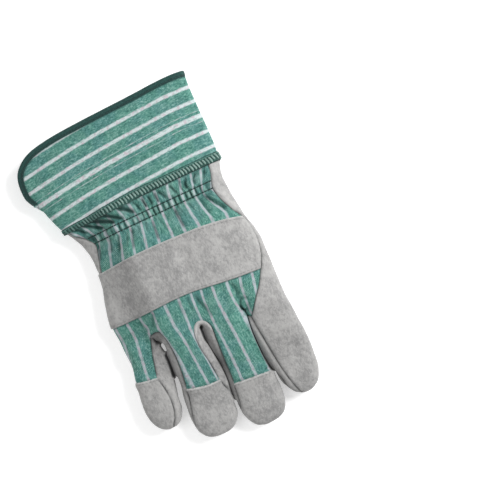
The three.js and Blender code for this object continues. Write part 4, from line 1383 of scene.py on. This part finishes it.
# The hand
cage, SHARES = hand_cage()
plain = Skin.of(cage)
at = plain.centres()
gathered = (at[:, 1] > -61.5) & (at[:, 1] < -40) & (at[:, 0] > -61) & (at[:, 0] < 54)
hand = plain.refined(gathered & (at[:, 2] > middle_height(at) + 1))
for measure, level in (
        (IN_CANVAS, 0), (in_any_cap, 0), (IN_INDEX_SIDE, 0), (IN_CANVAS, -0.6), (IN_CANVAS, 0.6),
        (in_any_cap, -0.8), (IN_INDEX_SIDE, -0.6), (IN_MIDDLE, 0), (IN_RING, 0)):
    hand.cut(measure, level)

rise, marks = hand_relief(hand.p, hand.n)
at = hand.centres()
kinds = np.full(len(at), "palm", object)
kinds[IN_MIDDLE(at) < 0] = "middle"
kinds[IN_RING(at) < 0] = "ring"
kinds[IN_INDEX_SIDE(at) < 0] = "side"
kinds[IN_CANVAS(at) < 0] = "canvas"
for name, measure in IN_CAPS.items():
    kinds[measure(at) < 0] = "cap_" + name

outer = hand.p + hand.n * rise[:, None]
outer[:, 2] = np.maximum(outer[:, 2], 0.02 + 0.1 * np.clip(hand.n[:, 2] + 1, 0, 1) + 0.52 * by_seam(hand.p))
inner = hand.p + hand.n * np.minimum(-WALL, rise - 0.9)[:, None]
weave = np.stack([warp_place(hand.p), hand.p[:, 1]], 1)
HAND_TREE = tree_of(outer, hand.t)


def panel(name, kind, replaces, materials=LEATHER):
    part = hand.only(kinds == kind)
    used = part.used
    values = {key: numbers[used] for key, numbers in marks.items()}
    wall(name, outer[used], inner[used], part.t, materials, weave[used], values, replaces)


panel("canvas_back", "canvas", ["back_canvas"], (CANVAS_BACK, CANVAS_BACK, CANVAS_INSIDE))
for name in CAPS:
    panel(f"{name}_fingertip_cap", "cap_" + name, [f"{name}_tip_cap"])
panel("index_side_strip", "side", ["index_finger_side"])
panel("middle_finger_palm_side", "middle", ["middle_finger_leather"])
panel("ring_finger_palm_side", "ring", ["ring_finger_leather"])
panel("palm_hide", "palm", ["palm_leather", "index_finger_leather", "little_finger_leather"])


# What is sewn on top of the hand
def overlay(name, measure, insets, profile, low, replaces, pale):
    """A raised piece on the plain skin. profile gives its thickness at a distance inside its outline."""
    skin = plain.within(measure, insets)
    inside = np.maximum(-measure(skin.p), 0)
    base = shared_relief(skin.p) + low
    top = skin.p + skin.n * (base + profile(inside, skin.p))[:, None]
    under = skin.p + skin.n * base[:, None]
    values = {"pale": pale(inside, skin.p)}
    wall(name, top, under, skin.t, LEATHER, skin.p[:, :2], values, replaces)
    return tree_of(top, skin.t)


def strap_profile(inside, p):
    seams_and_gap_shadow = bump(line_distance(stroke(STRAP[3]), p[:, :2]), 1.6)
    edge = STRAP_THICKNESS * (0.5 + 0.5 * smooth(0, 0.6, inside))
    return edge - 0.85 * edge * seams_and_gap_shadow + 0.12 * noise(p, 7, 31) + 0.05 * noise(p, 2.6, 32)


def strap_pale(inside, p):
    return 0.8 * bump(line_distance(stroke(STRAP[0]), p[:, :2]), 0.55)


def crotch_profile(inside, p):
    return (0.25 + 0.9 * dome(inside, 1.4)) * (1 - 0.9 * smooth(48.5, 56.5, p[:, 1]))


def palm_welt_profile(inside, p):
    return WELT_THICKNESS * (0.35 + 1.3 * dome(inside, 1.2))


PALM_WELT_LINE = outline(PALM_WELT)


def in_palm_welt(p):
    return np.maximum(line_distance(PALM_WELT_LINE, p[:, :2], True), p[:, 2] - middle_height(p) + 1)


STRAP_TREE = overlay("knuckle_strap_hide", on_back(STRAP_LINE), (0.3, 0.7), strap_profile, 0.22,
                     ["knuckle_strap"], strap_pale)
overlay("crotch_welt_hide", on_back(outline(CROTCH_WELT)), (0.3, 0.7, 1.15), crotch_profile, 0.12,
        ["crotch_welt"], lambda inside, p: 0.22 * smooth(0.3, 1.1, inside))
PALM_WELT_TREE = overlay("palm_welt_hide", in_palm_welt, (0.3, 0.7, 1.1), palm_welt_profile, 0.15,
                         ["palm_welt"], lambda inside, p: 0.55 * smooth(0.3, 1.0, inside))

# The elastic behind the gathers, inside the back
ELASTIC_LINE = outline([
    [(-66, -52.6), (66, -52.6)], [(66, -52.6), (66, -42.6)], [(66, -42.6), (-66, -42.6)],
    [(-66, -42.6), (-66, -52.6)]])


def in_elastic(p):
    below_back = middle_height(p) + 1 - p[:, 2]
    return np.maximum.reduce([line_distance(ELASTIC_LINE, p[:, :2], True), IN_CANVAS(p) + 2, below_back])


skin = plain.within(in_elastic)
ribs = 0.16 * np.cos(2 * np.pi * skin.p[:, 1] / 2.0)
depth = WALL + OVERLAY_GAP
wall("elastic_band", skin.p - skin.n * depth, skin.p - skin.n * (depth + ELASTIC_THICKNESS + ribs)[:, None],
     skin.t, (ELASTIC,), skin.p[:, [1, 0]], {}, ["wrist_elastic"])

# The thumb, folded under the palm
thumb = Skin.of(thumb_cage())
rise = 0.25 * noise(thumb.p, 12, 41) + 0.12 * noise(thumb.p, 5, 42) + 0.05 * noise(thumb.p, 2.4, 43)
off = thumb.p[:, 2] - (2.7 + 0.4 * np.sin(thumb.p[:, 1] / 9))
rise += -0.9 * bump(off, 0.6) + 0.45 * bump(np.abs(off) - 1.6, 1.0)
flat = smooth(-0.995, -0.9, thumb.n[:, 2])
top = thumb.p + thumb.n * (rise * (0.35 + 0.65 * flat))[:, None]
top[:, 2] = np.maximum(top[:, 2], 0.02)
points = np.vstack([top, thumb.p - thumb.n * WALL])
faces = np.vstack([thumb.t, thumb.t[:, ::-1] + len(thumb.p)])
# Dark along its side seam, partly the seam itself and partly painted shadow in the seam's valley; paler on
# the ridges either side
values = {"pale": np.tile(0.35 * bump(np.abs(off) - 1.5, 0.8), 2), "seam": np.tile(0.8 * bump(off, 0.45), 2)}
piece("thumb_hide", points, faces, LEATHER, np.repeat([0, 2], len(thumb.t)),
      np.tile(thumb.p[:, :2], (2, 1)), values, ["thumb_leather"])

# The cuff and its binding
MOUTH_LINE = stroke(MOUTH, 1.2)
KEPT = np.vstack([MOUTH_LINE, [(92, -80), (92, -50), (-92, -50)]])


def in_cuff(p):
    return line_distance(KEPT, p[:, :2], True, 40)


def past_mouth(p):
    """How far a point lies beyond the end of the mouth's edge."""
    return p[:, 1] - MOUTH_LINE[-1, 1]


def from_mouth(p):
    return line_distance(MOUTH_LINE, p[:, :2], reach=40)


def in_slit(p):
    off_middle = np.abs(p[:, 2] - cuff_middle(p)) - SLIT_HALF
    return np.maximum.reduce([off_middle, p[:, 1] - SLIT_END, 30 - p[:, 0]])


def cuff_relief(p):
    return 0.45 * noise(p, 34, 51) + 0.14 * noise(p, 12, 52) + 0.05 * noise(p, 4.5, 53)


cuff_rows = table_at(CUFF, [CUFF[0][0], *between([row[0] for row in CUFF[1:]], 7.0)])
sleeve = Skin.of(sleeve_cage(cuff_rows, SHARES)).within(in_cuff, margin=3)
sleeve.cut(in_slit)
sleeve = sleeve.only(in_slit(sleeve.centres()) > 0)
sleeve.cut(past_mouth, 0, 0.06)
for depth in (0.12, 0.4, 0.9, 1.6, 3.8, BINDING_WIDTH - 0.5, BINDING_WIDTH):
    sleeve.cut(from_mouth, depth, 0.06)
for depth in (0.12, 0.4, 0.9):
    sleeve.cut(in_slit, depth, 0.06)

from_edge = from_mouth(sleeve.p)
wave = cuff_relief(sleeve.p)
cuff_weave = np.stack([sleeve.p[:, 1] - column(CUFF_BEND, sleeve.p[:, 0], 1), sleeve.p[:, 0]], 1)
centre_edge = np.where(past_mouth(sleeve.centres()) > 0, 99, from_mouth(sleeve.centres()))

part = sleeve.only(centre_edge > BINDING_WIDTH - 0.5)
top = part.p + part.n * wave[part.used][:, None]
under = part.p + part.n * (wave[part.used] - CUFF_WALL)[:, None]
raised = 0.4 * by_seam(part.p)
top[:, 2], under[:, 2] = np.maximum(top[:, 2], 0.16 + raised), np.maximum(under[:, 2], 0.4 + raised)
wall("cuff_cloth", top, under, part.t, (CANVAS_CUFF, CANVAS_CUFF, CANVAS_CUFF_INSIDE),
     cuff_weave[part.used], {"seam": 0.6 * bump(from_edge[part.used] - BINDING_WIDTH, 0.5)}, ["cuff_canvas"])

part = sleeve.only(centre_edge < BINDING_WIDTH)
d = from_edge[part.used]
rim = np.minimum(d, np.maximum(in_slit(part.p), 0))
half = 1.4 * dome(np.maximum(rim, 0.052), 1.3)
half -= 0.28 * smooth(3.5, BINDING_WIDTH, d) + 0.16 * bump(d - 3.8, 0.35)
half *= 1 + 0.05 * noise(part.p, 2.6, 55)
middle = wave[part.used] - CUFF_WALL / 2
top = part.p + part.n * (middle + half)[:, None]
under = part.p + part.n * (middle - half)[:, None]
top[:, 2], under[:, 2] = np.maximum(top[:, 2], 0.04), np.maximum(under[:, 2], 0.3)
tape_weave = np.stack([along_line(MOUTH_LINE, part.p[:, :2]) * 190, d], 1)
wall("cuff_edge_tape", top, under, part.t, (TAPE,), tape_weave,
     {"seam": 0.7 * bump(d - 3.8, 0.4)}, ["cuff_binding"])
TAPE_TREE = tree_of(top, part.t)

# The overlocked seam between hand and cuff
joint_rows = [
    *table_at(HAND, [-54, -57]), HAND[1], HAND[0], CUFF[0], CUFF[1], *table_at(CUFF, [-71]), CUFF[2]]
joint = Skin.of(sleeve_cage(joint_rows, SHARES))
joint = joint.only(in_seam(joint.centres()) < 2.5)
joint.cut(in_seam, 0, 0.1)
for inset in (0.4, 0.9, 1.6):
    joint.cut(in_seam, -inset, 0.08)
joint = joint.only(in_seam(joint.centres()) < 0)
swell = 0.5 + dome(np.maximum(-in_seam(joint.p), 0), 1.7) + 0.12 * noise(joint.p, 3, 61)
top = joint.p + joint.n * (swell + cuff_relief(joint.p) * 0.5)[:, None]
under = joint.p + joint.n * 0.1
top[:, 2], under[:, 2] = np.maximum(top[:, 2], 0.4), np.maximum(under[:, 2], 0.7)
share = seam_share(joint.p)
wall("wrist_overlock_roll", top, under, joint.t, (SEAM_BASE,), None,
     {"tint": 0.9 * smooth(0.24, 0.14, share) * smooth(0.04, 0.1, share)}, ["wrist_seam"])
SEAM_TREE = tree_of(top, joint.t)

# The wrist's thumb side edge, width, middle height and half thickness
WRIST_EDGE, WRIST_WIDTH, WRIST_MIDDLE, WRIST_HALF = -71, 133.5, 12.6, 9.8
LOOP_COUNT = 106


def round_the_wrist(y_of, count):
    """Places evenly apart round the wrist, near the plain skin and never inside it. y_of gives their row."""
    x = WRIST_EDGE + WRIST_WIDTH * (0.5 - 0.5 * np.cos(np.pi * np.linspace(0, 1, 400)))
    y = y_of(x)
    up = np.maximum(0, 1 - np.abs(2 * (x - WRIST_EDGE) / WRIST_WIDTH - 1) ** ROUNDNESS) ** (1 / ROUNDNESS)
    sides = []
    for side in (1, -1):
        z = np.maximum(0, WRIST_MIDDLE + side * WRIST_HALF * up - PRESS) + lift(x, y) - 3 * up * (side < 0)
        sides.append(np.stack([x, y, z], 1))
    loop = np.vstack([sides[0], sides[1][::-1]])
    return evenly(loop, np.linspace(0, travelled(loop)[-1], count, endpoint=False))


def nearest(tree, points, above):
    out = []
    for q in points:
        place, normal, _, _ = tree.find_nearest(Vector(q))
        out.append(np.array(place) + np.array(normal) * above)
    out = np.array(out)
    out[:, 2] = np.maximum(out[:, 2], 0.35)
    return out


low_row, high_row = round_the_wrist(seam_low, LOOP_COUNT), round_the_wrist(seam_high, LOOP_COUNT)
loops = Threads()
jitter = np.random.default_rng(5).uniform(-1, 1, (LOOP_COUNT, 3))
for k in range(LOOP_COUNT):
    start, end = high_row[(k + 1) % LOOP_COUNT], low_row[k]
    if high_row[k][2] < middle_height(high_row[k][None])[0]:
        start, end = high_row[k], low_row[(k + 1) % LOOP_COUNT]
    shares = np.linspace(0.27 + 0.06 * jitter[k, 0], 0.84 + 0.05 * jitter[k, 1], 7)[:, None]
    tint = float(np.clip(0.15 + 0.22 * jitter[k, 2] + 0.6 * smooth(5, 45, start[0]), 0, 1))
    placed = nearest(SEAM_TREE, start + (end - start) * shares, 0.2)
    loops.add(placed, 0.7 + 0.1 * jitter[k, 0], 0.45, tint)
loops.piece("overlock_loops", SEAM_THREAD, "overlock_thread")

# Stitches
dark_rows = Threads()
for y_of, inward, radius in ((seam_low, -0.25, 0.5), (seam_high, 0.3, 0.4)):
    placed = nearest(SEAM_TREE, round_the_wrist(lambda x: y_of(x) + inward, 2 * LOOP_COUNT), 0.15)
    for k in range(0, 2 * LOOP_COUNT, 2):
        dark_rows.add(placed[[(k + j) % (2 * LOOP_COUNT) for j in (0, 1, 2)]], radius, 0.75)
for row, low, high in zip(SEWN_ROWS, (-57.2, -56.5), (46, 43.2)):
    sew(dark_rows, HAND_TREE, [(x, row) for x in np.arange(low, high, 0.7)], 2.6, 2.2, 0.48, sink=0.35)
dark_rows.piece("dark_stitching", DARK_THREAD, "overlock_thread")

grey_rows = Threads()
for which in (0, 2):
    sew(grey_rows, STRAP_TREE, moved_line(stroke(STRAP[which]), 1.8), 3.1, 2.2, 0.2)
for points in CAP_EDGES.values():
    sew(grey_rows, HAND_TREE, moved_line(stroke(points), 1.9), 3.0, 2.1, 0.2)
sew(grey_rows, PALM_WELT_TREE, moved_line(stroke(PALM_WELT[0]), 0.9), 2.8, 2.1, 0.24, from_above=False)
grey_rows.piece("grey_stitching", GREY_THREAD, "split_leather")

tape_rows = Threads()
line = moved_line(MOUTH_LINE[MOUTH_LINE[:, 0] > -73], 3.8)
for from_above in (True, False):
    sew(tape_rows, TAPE_TREE, line, 2.6, 2.0, 0.24, from_above)
tape_rows.piece("tape_stitching", DARK_THREAD, "binding_tape")

# Floor, camera and light
FLOOR_HALF, FLOOR_HEIGHT = 3, -0.0004
corners = [(x * FLOOR_HALF, y * FLOOR_HALF, FLOOR_HEIGHT) for x, y in ((-1, -1), (1, -1), (1, 1), (-1, 1))]
mesh = bpy.data.meshes.new("floor")
mesh.from_pydata(corners, [], [(0, 1, 2, 3)])
floor = bpy.data.objects.new("floor", mesh)
bpy.context.scene.collection.objects.link(floor)
paint = Finish("floor_paint", 0.95, specular=0.1)
speck = paint.noise(paint.place(), 90, 2)
paint.shader.inputs["Emission Color"].default_value = (1, 1, 1, 1)
paint.shader.inputs["Emission Strength"].default_value = 0.36
mesh.materials.append(paint.done(paint.mix(speck, (0.9, 0.9, 0.9, 1), (0.93, 0.93, 0.93, 1))))
floor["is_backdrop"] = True

# The photograph is taken from straight above. Its middle lies beside the hand, on the thumb's side.
CENTRE = Vector((-0.0637, 0.0100, 0.018))
LENS, SENSOR = 150, 36
VIEW_WIDTH = 0.385
camera = bpy.data.cameras.new("camera")
camera.lens, camera.sensor_width = LENS, SENSOR
camera.clip_start, camera.clip_end = 0.05, 20
eye = bpy.data.objects.new("camera", camera)
eye.location = CENTRE + Vector((0, 0, VIEW_WIDTH * LENS / SENSOR))
right, up = Vector((-0.9063, 0.4226, 0)), Vector((-0.4226, -0.9063, 0))
eye.rotation_mode = "QUATERNION"
turn = bpy.data.objects.new("turn", None).matrix_world.to_3x3()
turn.col[0], turn.col[1], turn.col[2] = right, up, Vector((0, 0, 1))
eye.rotation_quaternion = turn.to_quaternion()
bpy.context.scene.collection.objects.link(eye)
bpy.context.scene.camera = eye


def light(name, place, size, power):
    data = bpy.data.lights.new(name, "AREA")
    data.shape, data.size, data.energy = "DISK", size, power
    made = bpy.data.objects.new(name, data)
    made.location = place
    made.rotation_mode = "QUATERNION"
    made.rotation_quaternion = (CENTRE - Vector(place)).to_track_quat("-Z", "Y")
    bpy.context.scene.collection.objects.link(made)


light("key", tuple(CENTRE + right * 0.85 + up * 0.65 + Vector((0, 0, 0.95))), 0.75, 23)
light("fill", tuple(CENTRE - right * 0.9 - up * 0.3 + Vector((0, 0, 1.2))), 1.3, 6.5)
world = bpy.data.worlds.new("studio")
world.use_nodes = True
world.node_tree.nodes["Background"].inputs["Color"].default_value = (1, 1, 1, 1)
world.node_tree.nodes["Background"].inputs["Strength"].default_value = 0.44
bpy.context.scene.world = world
bpy.context.scene.view_settings.view_transform = "Standard"

low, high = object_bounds()
